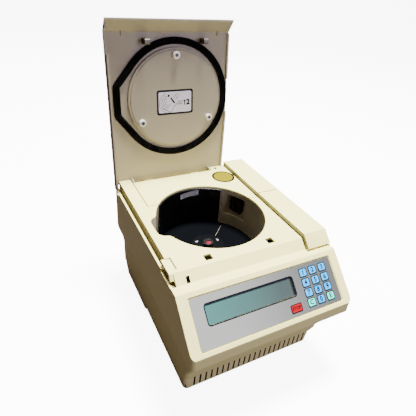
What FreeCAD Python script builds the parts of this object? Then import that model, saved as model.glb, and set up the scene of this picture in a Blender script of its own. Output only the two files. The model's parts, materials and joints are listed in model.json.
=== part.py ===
import FreeCAD, Part
import math
import os

# Sedimentation rate analyzer: a bench instrument with a keypad console at the front, a round spinning
# chamber under the deck, raised covers on the right and a hinged lid that stands open.
# Millimetres, X to the right, Y to the back, Z up, standing on Z = 0.

# Chamber, which the case is laid out around
bowl_radius = 81.0
bowl_y = 7.0
bowl_wall = 3.0
bowl_floor_z = 117.1
notch_reach = 9.4
notch_front = 28.0
notch_rear = 20.0
notch_corner = 13.0
notch_fillet = 8.0
floor_hole_radius = 20.0

# Case from left to right: channel, deck around the chamber, gutter, raised covers
channel_width = 7.3
deck_rim_left = 9.8
deck_rim_right = 11.7
gutter_width = 1.8
cover_width = 39.0
deck_width = deck_rim_left + notch_reach + 2 * bowl_radius + deck_rim_right
half_width = (channel_width + deck_width + gutter_width + cover_width) / 2
deck_left_x = channel_width - half_width
notch_left_x = deck_left_x + deck_rim_left
bowl_x = notch_left_x + notch_reach + bowl_radius
deck_right_x = bowl_x + bowl_radius + deck_rim_right
cover_left_x = deck_right_x + gutter_width
notch_front_y = bowl_y - notch_front
notch_rear_y = bowl_y + notch_rear

# Case from the chamber to the front, and from the chamber to the back
deck_rim_front = 16.8
slope_run = 12.3
ledge_run = 12.5
console_run = 54.4
deck_rim_rear = 43.3
hinge_well = 13.0
deck_front_y = bowl_y - bowl_radius - deck_rim_front
slope_foot_y = deck_front_y - slope_run
console_top_y = slope_foot_y - ledge_run
lip_front_y = console_top_y - console_run
insert_rear_y = bowl_y + bowl_radius + deck_rim_rear
rear_y = insert_rear_y + hinge_well
block_rear_y = rear_y - 0.9

# Case walls and heights
corner_radius = 7.0
wall = 3.0
fit_gap = 0.3
lip_round = 3.0
edge_round = 1.5
foot_height = 3.0
split_z = 27.5
lip_bottom_z = 107.0
lip_top_z = 123.4
ledge_z = 175.8
parting_z = 178.5
deck_z = 187.5
deck_thickness = 3.0
deck_under_z = deck_z - deck_thickness

# Underside of the case: height, and how far the side and the front lie inside the lip
underside = [
    (split_z, 10.7, 41.0),
    (40.0, 10.4, 35.6),
    (48.0, 10.3, 34.5),
    (69.0, 10.0, 23.3),
    (84.0, 7.0, 14.7),
    (99.0, 1.8, 6.2),
    (lip_bottom_z, 0.0, 0.0),
]

# Channel and rims beside the deck and the covers
channel_floor_z = 173.2
rim_thickness = 3.0
left_rim_z = 178.5
left_rim_low_z = 174.5
left_rim_step_y = bowl_y - 76.0
left_rim_rear_y = rear_y - 22.3
right_rim_z = 178.2

# Reading pocket in the right wall of the chamber: depth behind the wall and angle of its corners, height
pocket_places = [(0.0, 45.1), (19.5, 42.3), (10.2, 19.9), (0.2, 17.5)]
pocket_low_z = 141.0
pocket_high_z = 177.0

# Rear deck insert
seam_gap = 0.8
seam_right_y = bowl_y + 18.8
seam_left_y = bowl_y + 49.8
insert_left_x = deck_left_x + 19.8
block_left_x = deck_right_x - 28.1
block_bottom_z = 178.0
deck_screw_x = deck_right_x - 19.0
deck_screw_y = insert_rear_y + 4.7
deck_screw_radius = 3.0

# Hinge
hinge_y = insert_rear_y + 6.5
hinge_z = 185.0
open_angle = 96.4
pin_radius = 1.5
pin_play = 0.05
pin_press = 0.02
arm_radius = 5.0
arm_thickness = 2.5
arm_side_gap = 0.7
well_left_x = insert_left_x - 0.2
well_right_x = block_left_x - 0.4
well_floor_z = 173.5
pin_left_end_x = well_left_x - 10.4
pin_right_end_x = block_left_x + 4.9

# Front lug, its groove and the slot for releasing the latch
lug_left_x = deck_left_x - 5.3
lug_right_x = deck_left_x + 5.7
lug_front_y = deck_front_y - 5.2
lug_front_z = 179.5
lug_rear_y = deck_front_y + 27.3
lug_thickness = 5.0
groove_width = 1.2
groove_depth = 1.5
groove_front_y = deck_front_y + 5.2
groove_rear_y = deck_front_y + 25.8
release_x = deck_left_x + 16.2
release_width = 4.5
release_front_y = deck_front_y - 11.1
release_rear_y = deck_front_y - 5.7

# Lid, closed
lid_inner_z = 191.0
lid_top_z = 194.15
lid_side_gap = 0.8
lid_left_x = 0.5 - half_width
lid_right_x = cover_left_x - lid_side_gap
lid_right_rear_x = lid_right_x - 4.2
lid_taper_start_y = bowl_y + 33.0
lid_bend_y = deck_front_y - 2.2
lid_tip_y = lid_bend_y - 19.0
lid_tip_z = 176.6
lid_flange_thickness = 3.0
lid_plate_rear_y = hinge_y - 3.9
lid_tongue_rear_y = hinge_y + 9.5
skirt_thickness = 2.6
skirt_low_z = 178.8
skirt_notch_play = 1.2
skirt_notch_front_y = lug_front_y - skirt_notch_play
skirt_notch_rear_y = lug_rear_y + skirt_notch_play
skirt_notch_depth = 4.5
lip_depth = 3.0
gasket_gap = 0.3

# Parts on the inside of the lid
inner_plate_radius = bowl_radius - 3.2
inner_plate_step = 4.0
inner_plate_z = 186.5
gasket_inner_radius = bowl_radius + 1.5
gasket_outer_radius = bowl_radius + 11.6
gasket_inner_x = notch_left_x + 0.2
gasket_outer_x = notch_left_x - 9.0
gasket_front_y = bowl_y - 25.0
gasket_rear_y = bowl_y + 22.6
gasket_corner = 12.0
bead_gap = 0.6
bead_width = 1.0
bead_height = 0.8
knob_radius = 5.5
knob_circle = inner_plate_radius - 11.0
knob_length = 5.5
knob_angles = (-90.0, 30.0, 150.0)
knob_screw_radius = 1.6

# Latch
striker_x = (bowl_x - bowl_radius + 33.0, bowl_x + bowl_radius - 34.5)
striker_y = deck_front_y + 11.2
striker_size_x = 7.5
striker_size_y = 8.0
striker_tip_z = 175.0
striker_window = 4.0
striker_pocket = 2.4
striker_wall = 1.2
latch_hole_x = striker_size_x + 3.0
latch_hole_y = striker_size_y + 2.6
latch_travel = 4.0
latch_bar_y = deck_front_y + 2.4
latch_bar_width = 4.2
latch_bar_z = 177.6
latch_bar_thickness = 2.8
latch_bar_start_x = striker_x[0] - 14.0
latch_bar_end_x = striker_x[1] + 11.5
latch_finger_width = 5.0
latch_gap = 0.6
guide_x = (striker_x[0] + 39.0, striker_x[1] - 19.5)
guide_width = 8.0
solenoid_x = latch_bar_end_x + 7.0
solenoid_length = 22.0
plunger_radius = 2.0
spring_leaf = 0.4
spring_length = 9.0

# Side covers
cover_top_z = lid_top_z
cover_bend_y = deck_front_y - 0.7
cover_foot_y = cover_bend_y - 16.6
cover_seam_y = seam_right_y
cover_wall = 2.5
plinth_inset = 1.5
right_rim_front_y = cover_foot_y + 13.1

# Spindle and motor
shaft_radius = 4.0
shaft_play = 0.04
hub_radius = 7.8
hub_top_z = 135.4
housing_radius = 31.0
housing_top_radius = 26.0
housing_top_z = 129.5
bearing_radius = 11.0
bearing_height = 7.0
spindle_screw_circle = 19.0
spindle_screw_angles = (15.5, 135.5, 255.5)
motor_radius = 32.0
motor_top_z = 104.0
motor_length = 60.0
bracket_radius = 50.0
bracket_thickness = 3.5
isolator_radius = 6.0
isolator_circle = 42.0

# Lining of the chamber
mat_thickness = 1.5
mat_edge = 1.0
mat_slit_width = 0.8
mat_slit_angle = 45.0
mat_slit_inner = housing_radius + 7.0
mat_slit_outer = bowl_radius - 5.0
shield_thickness = 2.3
shield_start = 51.0
shield_end = 141.0

# Console face: places measured from its lower edge up the slope
recess_left_x = 13.0 - half_width
recess_right_x = half_width - 13.0
recess_low = 5.5
recess_high = 69.0
recess_depth = 1.2
overlay_gap = 1.5
overlay_thickness = 0.7
window_left_x = recess_left_x + 18.5
window_right_x = recess_right_x - 69.0
window_low = 32.1
window_high = 56.7
window_corner = 3.0
key_width = 11.75
key_height = 10.5
key_first_x = window_right_x + 19.2
key_columns = (key_first_x, key_first_x + 15.9, key_first_x + 32.0)
key_rows = (57.0, 43.6, 30.6, 17.6)
key_relief = 0.4
stop_x = window_right_x - 6.1
stop_row = 17.1
stop_width = 17.5
stop_height = 11.0
glass_thickness = 1.1
module_margin = 6.0
module_depth = 6.0
board_depth = 20.4
board_thickness = 1.6
board_half_width = recess_right_x - 7.5
board_low = 8.0
board_high = 68.0
standoff_radius = 2.6
standoff_low = board_low + 5.0
standoff_high = board_high - 4.0

# Tray: how far its sides, front and back lie inside the case
tray_top_inset = 11.5
tray_mid_inset = 13.0
tray_low_inset = 15.0
tray_wide_inset = 12.5
tray_mid_z = 16.0
tray_top_half = half_width - tray_top_inset
tray_mid_half = half_width - tray_mid_inset
tray_low_half = half_width - tray_low_inset
tray_wide_half = half_width - tray_wide_inset
tray_top_front_y = lip_front_y + 42.4
tray_mid_front_y = lip_front_y + 42.8
tray_low_front_y = lip_front_y + 43.3
tray_top_rear_y = rear_y - 0.5
tray_mid_rear_y = rear_y - 3.3
tray_low_rear_y = rear_y - 13.3
tray_wide_y = bowl_y + 20.0
tray_lip_height = 3.5
tray_lip_thickness = 2.0
vent_count = 22
vent_first_x = 18.2 - tray_top_half
vent_last_x = tray_top_half - 13.5
vent_width = 2.6
vent_low_z = 5.0
vent_high_z = 25.0

# Feet and case screws
foot_radius = 9.0
foot_x = tray_low_half - 15.5
foot_front_y = tray_low_front_y + 18.7
foot_rear_y = tray_low_rear_y - 19.0
case_screw_x = tray_low_half - 6.5
case_screw_front_y = tray_low_front_y + 9.7
case_screw_rear_y = tray_low_rear_y - 7.0
case_screw_radius = 1.5
case_screw_head = 3.4
case_boss_radius = 4.5
case_boss_top_z = 46.0

# Rear panel
inlet_x = half_width - 44.5
inlet_z = 62.0
inlet_width = 28.0
inlet_height = 20.0
inlet_flange = 2.5
inlet_depth = 16.0
switch_x = inlet_x - 40.0
switch_z = 62.0
rocker_half_width = 8.5
rocker_radius = 11.9
rocker_tilt = 9.0
serial_x = switch_x - 44.0
serial_z = 62.0

# Power supply, standing on the floor of the tray
supply_width = 58.0
supply_length = 62.0
supply_height = 38.0
supply_sheet = 1.2
supply_right_x = tray_low_half - 13.5
supply_left_x = supply_right_x - supply_width
supply_rear_y = tray_low_rear_y - 19.0
supply_front_y = supply_rear_y - supply_length


def vec(x, y, z):
    return FreeCAD.Vector(x, y, z)


def box(x0, x1, y0, y1, z0, z1):
    return Part.makeBox(x1 - x0, y1 - y0, z1 - z0, vec(x0, y0, z0))


def post(radius, x, y, z0, z1):
    return Part.makeCylinder(radius, z1 - z0, vec(x, y, z0))


def rod_x(radius, y, z, x0, x1):
    return Part.makeCylinder(radius, x1 - x0, vec(x0, y, z), vec(1, 0, 0))


def rod_y(radius, x, z, y0, y1):
    return Part.makeCylinder(radius, y1 - y0, vec(x, y0, z), vec(0, 1, 0))


def polar(x, y, radius, degrees):
    angle = math.radians(degrees)
    return x + radius * math.cos(angle), y + radius * math.sin(angle)


def corner_arc(before, corner, after, radius):
    # two tangent points and the middle of the arc that rounds a corner
    to_before = (before - corner).normalize()
    to_after = (after - corner).normalize()
    half = to_before.getAngle(to_after) / 2
    reach = radius / math.tan(half)
    bisector = (to_before + to_after).normalize()
    start = corner + to_before * reach
    end = corner + to_after * reach
    middle = corner + bisector * (radius / math.sin(half) - radius)
    return start, middle, end


def outline(points, radii):
    # closed wire through the points, each corner rounded by its own radius
    edges = []
    stops = []
    count = len(points)
    for i in range(count):
        corner = points[i]
        if radii[i] > 0:
            stops.append(corner_arc(points[i - 1], corner, points[(i + 1) % count], radii[i]))
        else:
            stops.append((corner, None, corner))
    for i in range(count):
        start, middle, end = stops[i]
        if middle is not None:
            edges.append(Part.Arc(start, middle, end).toShape())
        following = stops[(i + 1) % count][0]
        if (following - end).Length > 1e-6:
            edges.append(Part.makeLine(end, following))
    return Part.Wire(edges)


def same_radius(points, radius):
    return [radius] * len(points)


def side_prism(points, x0, x1, radii=None):
    # points are (y, z)
    corners = [vec(x0, y, z) for y, z in points]
    wire = outline(corners, radii or same_radius(points, 0))
    return Part.Face(wire).extrude(vec(x1 - x0, 0, 0))


def plan_prism(points, z0, z1, radii=None):
    # points are (x, y)
    corners = [vec(x, y, z0) for x, y in points]
    wire = outline(corners, radii or same_radius(points, 0))
    return Part.Face(wire).extrude(vec(0, 0, z1 - z0))


def rect_points(x0, x1, y0, y1):
    return [(x0, y0), (x1, y0), (x1, y1), (x0, y1)]


def rounded_box(x0, x1, y0, y1, z0, z1, radius):
    points = rect_points(x0, x1, y0, y1)
    return plan_prism(points, z0, z1, same_radius(points, radius))


def rect_wire(half, y0, y1, radius, z):
    corners = [vec(x, y, z) for x, y in rect_points(-half, half, y0, y1)]
    return outline(corners, same_radius(corners, radius))


def rect_loft(sections):
    # sections are (half width, front, rear, corner radius, height)
    wires = [rect_wire(*section) for section in sections]
    return Part.makeLoft(wires, True, True)


def inset(points, distance):
    # moves each side of a closed outline inwards and lets neighbours meet again
    count = len(points)
    area = sum(points[i - 1][0] * points[i][1] - points[i][0] * points[i - 1][1] for i in range(count))
    turn = 1 if area > 0 else -1
    moved = []
    for i in range(count):
        (ax, ay), (bx, by) = points[i], points[(i + 1) % count]
        length = math.hypot(bx - ax, by - ay)
        dx, dy = (bx - ax) / length, (by - ay) / length
        moved.append((ax - dy * turn * distance, ay + dx * turn * distance, dx, dy))
    corners = []
    for i in range(count):
        x1, y1, dx1, dy1 = moved[i - 1]
        x2, y2, dx2, dy2 = moved[i]
        across = dx1 * dy2 - dy1 * dx2
        along = ((x2 - x1) * dy2 - (y2 - y1) * dx2) / across
        corners.append((x1 + dx1 * along, y1 + dy1 * along))
    return corners


def turned(profile, x, y):
    # solid of revolution about an upright axis, profile points are (radius, z)
    face = Part.Face(outline([vec(x + r, y, z) for r, z in profile], same_radius(profile, 0)))
    return face.revolve(vec(x, y, 0), vec(0, 0, 1), 360)


def fused(shapes):
    whole = shapes[0]
    if len(shapes) > 1:
        whole = whole.multiFuse(shapes[1:])
    return whole.removeSplitter()


def opened(shape):
    # turns a shape that was drawn on the closed lid to where the open lid holds it
    copy = shape.copy()
    copy.rotate(vec(0, hinge_y, hinge_z), vec(1, 0, 0), -open_angle)
    return copy


console_angle = math.degrees(math.atan2(ledge_z - lip_top_z, console_run))


def on_console(shape):
    # local Y runs up the console from its lower edge, local Z stands out of it
    copy = shape.copy()
    copy.rotate(vec(0, 0, 0), vec(1, 0, 0), console_angle)
    copy.translate(vec(0, lip_front_y, lip_top_z))
    return copy


# Case

def case_profile(bottom_z):
    return [
        (lip_front_y, bottom_z),
        (lip_front_y, lip_top_z),
        (console_top_y, ledge_z),
        (slope_foot_y, ledge_z),
        (deck_front_y, deck_z),
        (rear_y, deck_z),
        (rear_y, bottom_z),
    ]


def case_block(depth):
    # the case as a solid block, each face moved inwards by depth
    radius = corner_radius - depth
    plan = rounded_box(-half_width + depth, half_width - depth, lip_front_y + depth, rear_y - depth,
                       lip_bottom_z, deck_z, radius)
    if depth > 0:
        profile = inset(case_profile(lip_bottom_z - depth), depth)
        radii = same_radius(profile, 0)
    else:
        profile = case_profile(lip_bottom_z)
        radii = [0, lip_round, edge_round, edge_round + 1, edge_round, 0, 0]
    upper = plan.common(side_prism(profile, -half_width, half_width, radii))
    sections = [(half_width - side - depth, lip_front_y + front + depth, rear_y - depth, radius, z)
                for z, side, front in underside]
    return upper.fuse(rect_loft(sections))


def case_steps(depth):
    # everything beside and behind the deck that is cut down, grown by the wall for the hollow
    above = deck_z + 1
    behind = rear_y + 1
    outside = half_width + 1
    return [
        box(-outside, deck_left_x + depth, slope_foot_y - depth, behind, channel_floor_z - depth, above),
        box(deck_right_x - depth, outside, slope_foot_y - depth, behind, ledge_z - depth, above),
        box(well_left_x - depth, well_right_x + depth, insert_rear_y - depth, behind,
            well_floor_z - depth, above),
        box(well_right_x - 1, outside, insert_rear_y - fit_gap - depth, behind, block_bottom_z - depth, above),
    ]


def bowl_outline(grow, z0, z1):
    # round opening with the notch on its left, its meeting corners rounded
    radius = bowl_radius + grow
    corner = notch_corner + grow
    fillet = notch_fillet - grow
    shapes = [
        post(radius, bowl_x, bowl_y, z0, z1),
        rounded_box(notch_left_x - grow, bowl_x, notch_front_y - grow, notch_rear_y + grow, z0, z1, corner),
    ]
    for side in (1, -1):
        edge = notch_rear_y if side > 0 else notch_front_y
        cx, cy = notch_left_x + notch_corner, edge - side * notch_corner
        gap = math.hypot(cx - bowl_x, cy - bowl_y)
        far = bowl_radius + notch_fillet
        near = notch_corner + notch_fillet
        along = (far ** 2 - near ** 2 + gap ** 2) / (2 * gap)
        out = math.sqrt(far ** 2 - along ** 2)
        ux, uy = (cx - bowl_x) / gap, (cy - bowl_y) / gap
        fx = bowl_x + ux * along + uy * out * side
        fy = bowl_y + uy * along - ux * out * side
        web = plan_prism([(bowl_x, bowl_y), (cx, cy), (fx, fy)], z0, z1)
        shapes.append(web.cut(post(fillet, fx, fy, z0 - 1, z1 + 1)))
    return fused(shapes)


def insert_points(gap, rear):
    left = insert_left_x - gap
    right = deck_right_x
    return [
        (left, seam_left_y - gap),
        (bowl_x, seam_left_y - gap),
        (bowl_x, seam_right_y - gap),
        (right, seam_right_y - gap),
        (right, rear),
        (left, rear),
    ]


def front_lug():
    under = deck_z - lug_thickness
    profile = [
        (deck_front_y, deck_z),
        (lug_rear_y, deck_z),
        (lug_rear_y, under),
        (deck_front_y + 2, under),
        (lug_front_y + 2, lug_front_z - 1.5),
        (lug_front_y, lug_front_z),
    ]
    return side_prism(profile, lug_left_x, lug_right_x, [edge_round, 0, 0, 0, 0, 0.5])


stop_rib_x = (well_left_x + 31.1, well_right_x - 28.7)
stop_rib_width = 15.0
stop_rib_height = 8.0


def stop_ribs():
    # two ribs in the hinge well that the open lid leans on
    lid_plane = opened(box(-half_width, half_width, -half_width, rear_y * 2,
                           lid_inner_z - fit_gap, lid_inner_z + 40))
    ribs = []
    for x in stop_rib_x:
        rib = box(x - stop_rib_width / 2, x + stop_rib_width / 2, insert_rear_y - 1, rear_y - 1.3,
                  well_floor_z - 1, well_floor_z + stop_rib_height)
        ribs.append(rib.cut(lid_plane))
    return ribs


boss_left_x = deck_left_x + 5.2
boss_front_y = insert_rear_y + 0.5


def case_screw_places():
    return [(x, y) for x in (-case_screw_x, case_screw_x) for y in (case_screw_front_y, case_screw_rear_y)]


def case_bosses():
    # blocks on the side walls that take the screws of the tray
    bosses = []
    for x, y in case_screw_places():
        outer = math.copysign(half_width - underside[0][1] - wall + 1, x)
        inner = math.copysign(case_screw_x - case_boss_radius, x)
        low = split_z + tray_lip_height + fit_gap
        bosses.append(box(min(inner, outer), max(inner, outer), y - case_boss_radius, y + case_boss_radius,
                          low, case_boss_top_z))
    return bosses


def case_shell():
    outer = case_block(0)
    hollow = case_block(wall)
    outer = outer.cut(case_steps(0))
    outer = outer.cut(box(deck_left_x - 1, well_left_x + 1, block_rear_y, rear_y + 1,
                          channel_floor_z, deck_z + 1))
    hollow = hollow.cut(case_steps(wall))
    shell = outer.cut(hollow)
    rim_low = channel_floor_z - 1
    left_rim = [
        box(-half_width, -half_width + rim_thickness, slope_foot_y, left_rim_step_y, rim_low, left_rim_low_z),
        box(-half_width, -half_width + rim_thickness, left_rim_step_y, left_rim_rear_y, rim_low, left_rim_z),
    ]
    right_rim = box(half_width - rim_thickness, half_width, right_rim_front_y, rear_y - corner_radius,
                    ledge_z - 1, right_rim_z)
    seat = plan_prism([(x, y) for x, y in insert_points(4.0, insert_rear_y - 1)],
                      deck_under_z - deck_thickness, deck_under_z)
    hinge_boss = box(boss_left_x, well_left_x, boss_front_y, block_rear_y, block_bottom_z, deck_under_z + 1)
    extras = left_rim + [right_rim, seat, hinge_boss, front_lug()] + stop_ribs() + case_bosses()
    shell = shell.multiFuse(extras)
    cuts = [
        plan_prism(insert_points(seam_gap, rear_y + 2), deck_under_z, deck_z + 1),
        post(bowl_radius + bowl_wall + 0.4, bowl_x, bowl_y, deck_under_z - deck_thickness - 1, deck_under_z),
        bowl_outline(0, deck_under_z - 1, deck_z + 1),
        rod_x(pin_radius + pin_press, hinge_y, hinge_z, pin_left_end_x - fit_gap, well_left_x + 1),
        post(case_screw_radius, deck_screw_x, deck_screw_y, block_bottom_z - wall - 1, block_bottom_z + 1),
        box(lug_right_x, lug_right_x + groove_width, groove_front_y, groove_rear_y,
            deck_z - groove_depth, deck_z + 1),
        box(deck_left_x, lug_right_x + groove_width, groove_rear_y, groove_rear_y + groove_width,
            deck_z - groove_depth, deck_z + 1),
        box(release_x - release_width / 2, release_x + release_width / 2, release_front_y, release_rear_y,
            ledge_z - wall - 1, deck_z + 1),
        on_console(rounded_box(recess_left_x, recess_right_x, recess_low, recess_high, -recess_depth, 5, 3)),
        on_console(rounded_box(window_left_x, window_right_x, window_low, window_high, -wall - 1, 5, 2)),
    ]
    for x in striker_x:
        cuts.append(box(x - latch_hole_x / 2, x + latch_hole_x / 2, striker_y - latch_hole_y / 2,
                        striker_y + latch_hole_y / 2, deck_under_z - 1, deck_z + 1))
    for x, y in case_screw_places():
        cuts.append(post(case_screw_radius + 0.1, x, y, split_z, case_boss_top_z - 1))
    cuts += rear_cutouts()
    return shell.cut(cuts).removeSplitter()


# Rear panel openings and the pieces in them

def rear_cutouts():
    y0 = rear_y - wall - 1
    y1 = rear_y + 1
    half_w = inlet_width / 2
    half_h = inlet_height / 2
    frame_w = rocker_half_width + switch_wall + fit_gap
    frame_h = rocker_radius + switch_wall + fit_gap
    return [
        box(inlet_x - half_w, inlet_x + half_w, y0, y1, inlet_z - half_h, inlet_z + half_h),
        box(switch_x - frame_w, switch_x + frame_w, y0, y1, switch_z - frame_h, switch_z + frame_h),
        box(serial_x - serial_half_width - fit_gap, serial_x + serial_half_width + fit_gap, y0, y1,
            serial_z - serial_half_height - fit_gap, serial_z + serial_half_height + fit_gap),
    ]


inlet_socket_width = 23.0
inlet_socket_height = 15.0
inlet_ear = 8.0
prong_half_width = 1.0
prong_half_height = 2.0


def power_inlet():
    # mains socket with two ears, three prongs and a keyed recess
    half_w = inlet_width / 2 - fit_gap
    half_h = inlet_height / 2 - fit_gap
    body = box(inlet_x - half_w, inlet_x + half_w, rear_y - inlet_depth - 2, rear_y,
               inlet_z - half_h, inlet_z + half_h)
    ears = [
        vec(inlet_x - half_w - inlet_ear, rear_y, inlet_z),
        vec(inlet_x - half_w + 2, rear_y, inlet_z - half_h - 2),
        vec(inlet_x + half_w - 2, rear_y, inlet_z - half_h - 2),
        vec(inlet_x + half_w + inlet_ear, rear_y, inlet_z),
        vec(inlet_x + half_w - 2, rear_y, inlet_z + half_h + 2),
        vec(inlet_x - half_w + 2, rear_y, inlet_z + half_h + 2),
    ]
    flange = Part.Face(outline(ears, [3, 1.5, 1.5, 3, 1.5, 1.5])).extrude(vec(0, inlet_flange, 0))
    w = inlet_socket_width / 2
    h = inlet_socket_height / 2
    mouth = [
        vec(inlet_x - w, rear_y - inlet_depth, inlet_z - h),
        vec(inlet_x + w, rear_y - inlet_depth, inlet_z - h),
        vec(inlet_x + w, rear_y - inlet_depth, inlet_z + h),
        vec(inlet_x - w, rear_y - inlet_depth, inlet_z + h),
    ]
    recess = Part.Face(outline(mouth, [1, 1, 4, 4])).extrude(vec(0, inlet_depth + inlet_flange + 1, 0))
    body = body.fuse(flange).cut(recess)
    holes = [rod_y(case_screw_radius + 0.1, x, inlet_z, rear_y - 1, rear_y + inlet_flange + 1)
             for x in inlet_screw_places()]
    prongs = [box(inlet_x + dx - prong_half_width, inlet_x + dx + prong_half_width,
                  rear_y - inlet_depth - 1, rear_y - 2,
                  inlet_z + dz - prong_half_height, inlet_z + dz + prong_half_height)
              for dx, dz in ((-7, -3), (0, 0), (7, -3))]
    return body.cut(holes), Part.makeCompound([prong.cut(body) for prong in prongs])


def inlet_screw_places():
    reach = inlet_width / 2 + inlet_ear / 2 - 1
    return [inlet_x - reach, inlet_x + reach]


def pan_screw_y(x, z, y, radius, head, length):
    # screw along Y with a domed head, its head standing on the plane at y
    face = Part.Face(outline([
        vec(x, y - length, z),
        vec(x + radius, y - length, z),
        vec(x + radius, y, z),
        vec(x + head, y, z),
        vec(x + head * 0.75, y + head * 0.55, z),
        vec(x, y + head * 0.6, z),
    ], [0, 0, 0, 0, 0, 0]))
    return face.revolve(vec(x, 0, z), vec(0, 1, 0), 360)


def inlet_screws():
    return Part.makeCompound([pan_screw_y(x, inlet_z, rear_y + inlet_flange, case_screw_radius, 2.6, 2.3)
                              for x in inlet_screw_places()])


switch_wall = 1.5
switch_flange = 2.0
switch_depth = 14.0
rocker_axis_y = rear_y - 2.5
rocker_pin_radius = 1.4
rocker_pin_length = 1.2


def switch_frame():
    half_w = rocker_half_width + switch_wall
    half_h = rocker_radius + switch_wall
    body = box(switch_x - half_w, switch_x + half_w, rear_y - wall - switch_depth, rear_y,
               switch_z - half_h, switch_z + half_h)
    flange = box(switch_x - half_w - 2, switch_x + half_w + 2, rear_y, rear_y + switch_flange,
                 switch_z - half_h - 2, switch_z + half_h + 2)
    opening = box(switch_x - rocker_half_width - fit_gap, switch_x + rocker_half_width + fit_gap,
                  rocker_axis_y - rocker_radius - fit_gap, rear_y + switch_flange + 1,
                  switch_z - rocker_radius - fit_gap, switch_z + rocker_radius + fit_gap)
    pivot = rod_x(rocker_pin_radius + pin_play, rocker_axis_y, switch_z,
                  switch_x - rocker_half_width - rocker_pin_length - fit_gap,
                  switch_x + rocker_half_width + rocker_pin_length + fit_gap)
    return body.fuse(flange).cut([opening, pivot]).removeSplitter()


def power_switch():
    # rocker with a dished face, tilted to its off side
    drum = rod_x(rocker_radius, rocker_axis_y, switch_z, switch_x - rocker_half_width,
                 switch_x + rocker_half_width)
    face_y = rear_y + switch_flange + 0.5
    end_y = face_y + 1.6
    slab = side_prism([
        (rocker_axis_y - 3, switch_z - rocker_radius),
        (end_y, switch_z - rocker_radius),
        (face_y, switch_z),
        (end_y, switch_z + rocker_radius),
        (rocker_axis_y - 3, switch_z + rocker_radius),
    ], switch_x - rocker_half_width, switch_x + rocker_half_width, [0, 0, 12, 0, 0])
    pin = rod_x(rocker_pin_radius, rocker_axis_y, switch_z,
                switch_x - rocker_half_width - rocker_pin_length,
                switch_x + rocker_half_width + rocker_pin_length)
    rocker = drum.common(slab).fuse(pin).removeSplitter()
    rocker.rotate(vec(switch_x, rocker_axis_y, switch_z), vec(1, 0, 0), rocker_tilt)
    return rocker


serial_half_width = 9.5
serial_half_height = 5.2
serial_flange_half = 15.4
serial_flange_height = 6.2
serial_flange = 1.0
serial_shell = 5.5
serial_jack_x = 12.5


def d_outline(half, height, y):
    slope = height * 0.18
    corners = [
        vec(serial_x - half + slope, y, serial_z - height),
        vec(serial_x + half - slope, y, serial_z - height),
        vec(serial_x + half, y, serial_z + height),
        vec(serial_x - half, y, serial_z + height),
    ]
    return Part.Face(outline(corners, [1.6, 1.6, 1.6, 1.6]))


def serial_port():
    body = box(serial_x - serial_half_width, serial_x + serial_half_width, rear_y - wall - 6, rear_y,
               serial_z - serial_half_height, serial_z + serial_half_height)
    flange = box(serial_x - serial_flange_half, serial_x + serial_flange_half, rear_y, rear_y + serial_flange,
                 serial_z - serial_flange_height, serial_z + serial_flange_height)
    shell = d_outline(8.4, 4.2, rear_y).extrude(vec(0, serial_flange + serial_shell, 0))
    hollow = d_outline(7.8, 3.6, rear_y - 4).extrude(vec(0, serial_flange + serial_shell + 5, 0))
    holes = [rod_y(1.5, serial_x + side * serial_jack_x, serial_z, rear_y - 1, rear_y + 3)
             for side in (-1, 1)]
    return fused([body, flange, shell]).cut([hollow] + holes)


def serial_jacks():
    # hexagon posts that the plug of a data lead screws to
    jacks = []
    for side in (-1, 1):
        x = serial_x + side * serial_jack_x
        hexagon = [vec(x + 2.6 * math.cos(math.radians(60 * i)), rear_y + serial_flange,
                       serial_z + 2.6 * math.sin(math.radians(60 * i))) for i in range(6)]
        head = Part.Face(outline(hexagon, [0] * 6)).extrude(vec(0, 4.5, 0))
        bore = rod_y(1.3, x, serial_z, rear_y + serial_flange + 1, rear_y + serial_flange + 6)
        stem = rod_y(1.4, x, serial_z, rear_y, rear_y + serial_flange)
        jacks.append(head.cut(bore).fuse(stem))
    return Part.makeCompound(jacks)


# Deck, covers and tray

def rear_deck():
    plate = plan_prism(insert_points(0, insert_rear_y - fit_gap), deck_under_z, deck_z)
    plate = plate.cut(post(bowl_radius, bowl_x, bowl_y, deck_under_z - 1, deck_z + 1))
    block = box(block_left_x, deck_right_x - fit_gap, insert_rear_y - fit_gap, block_rear_y,
                block_bottom_z, deck_z)
    insert = plate.fuse(block)
    head_z = deck_z - 2.3
    cuts = [
        rod_x(pin_radius + pin_press, hinge_y, hinge_z, block_left_x - 1, pin_right_end_x + fit_gap),
        post(deck_screw_radius + 0.2, deck_screw_x, deck_screw_y, head_z, deck_z + 1),
        post(case_screw_radius + 0.1, deck_screw_x, deck_screw_y, block_bottom_z - 1, deck_z),
        box(deck_right_x - 7, deck_right_x + 1, insert_rear_y + 1.5, block_rear_y - 2.5,
            block_bottom_z - 1, deck_under_z),
    ]
    return insert.cut(cuts).removeSplitter()


def slotted_screw(x, y, z, radius, head, height, length, slot_angle=30):
    # cheese head screw standing head up, its head seated at z
    screw = post(head, x, y, z, z + height).fuse(post(radius, x, y, z - length, z))
    slot = box(x - head - 1, x + head + 1, y - 0.4, y + 0.4, z + height * 0.55, z + height + 1)
    slot.rotate(vec(x, y, z), vec(0, 0, 1), slot_angle)
    return screw.cut(slot)


def deck_screw():
    return slotted_screw(deck_screw_x, deck_screw_y, deck_z - 2.3, case_screw_radius, deck_screw_radius, 2.0,
                         deck_z - 2.3 - block_bottom_z + wall - 0.2)


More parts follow.
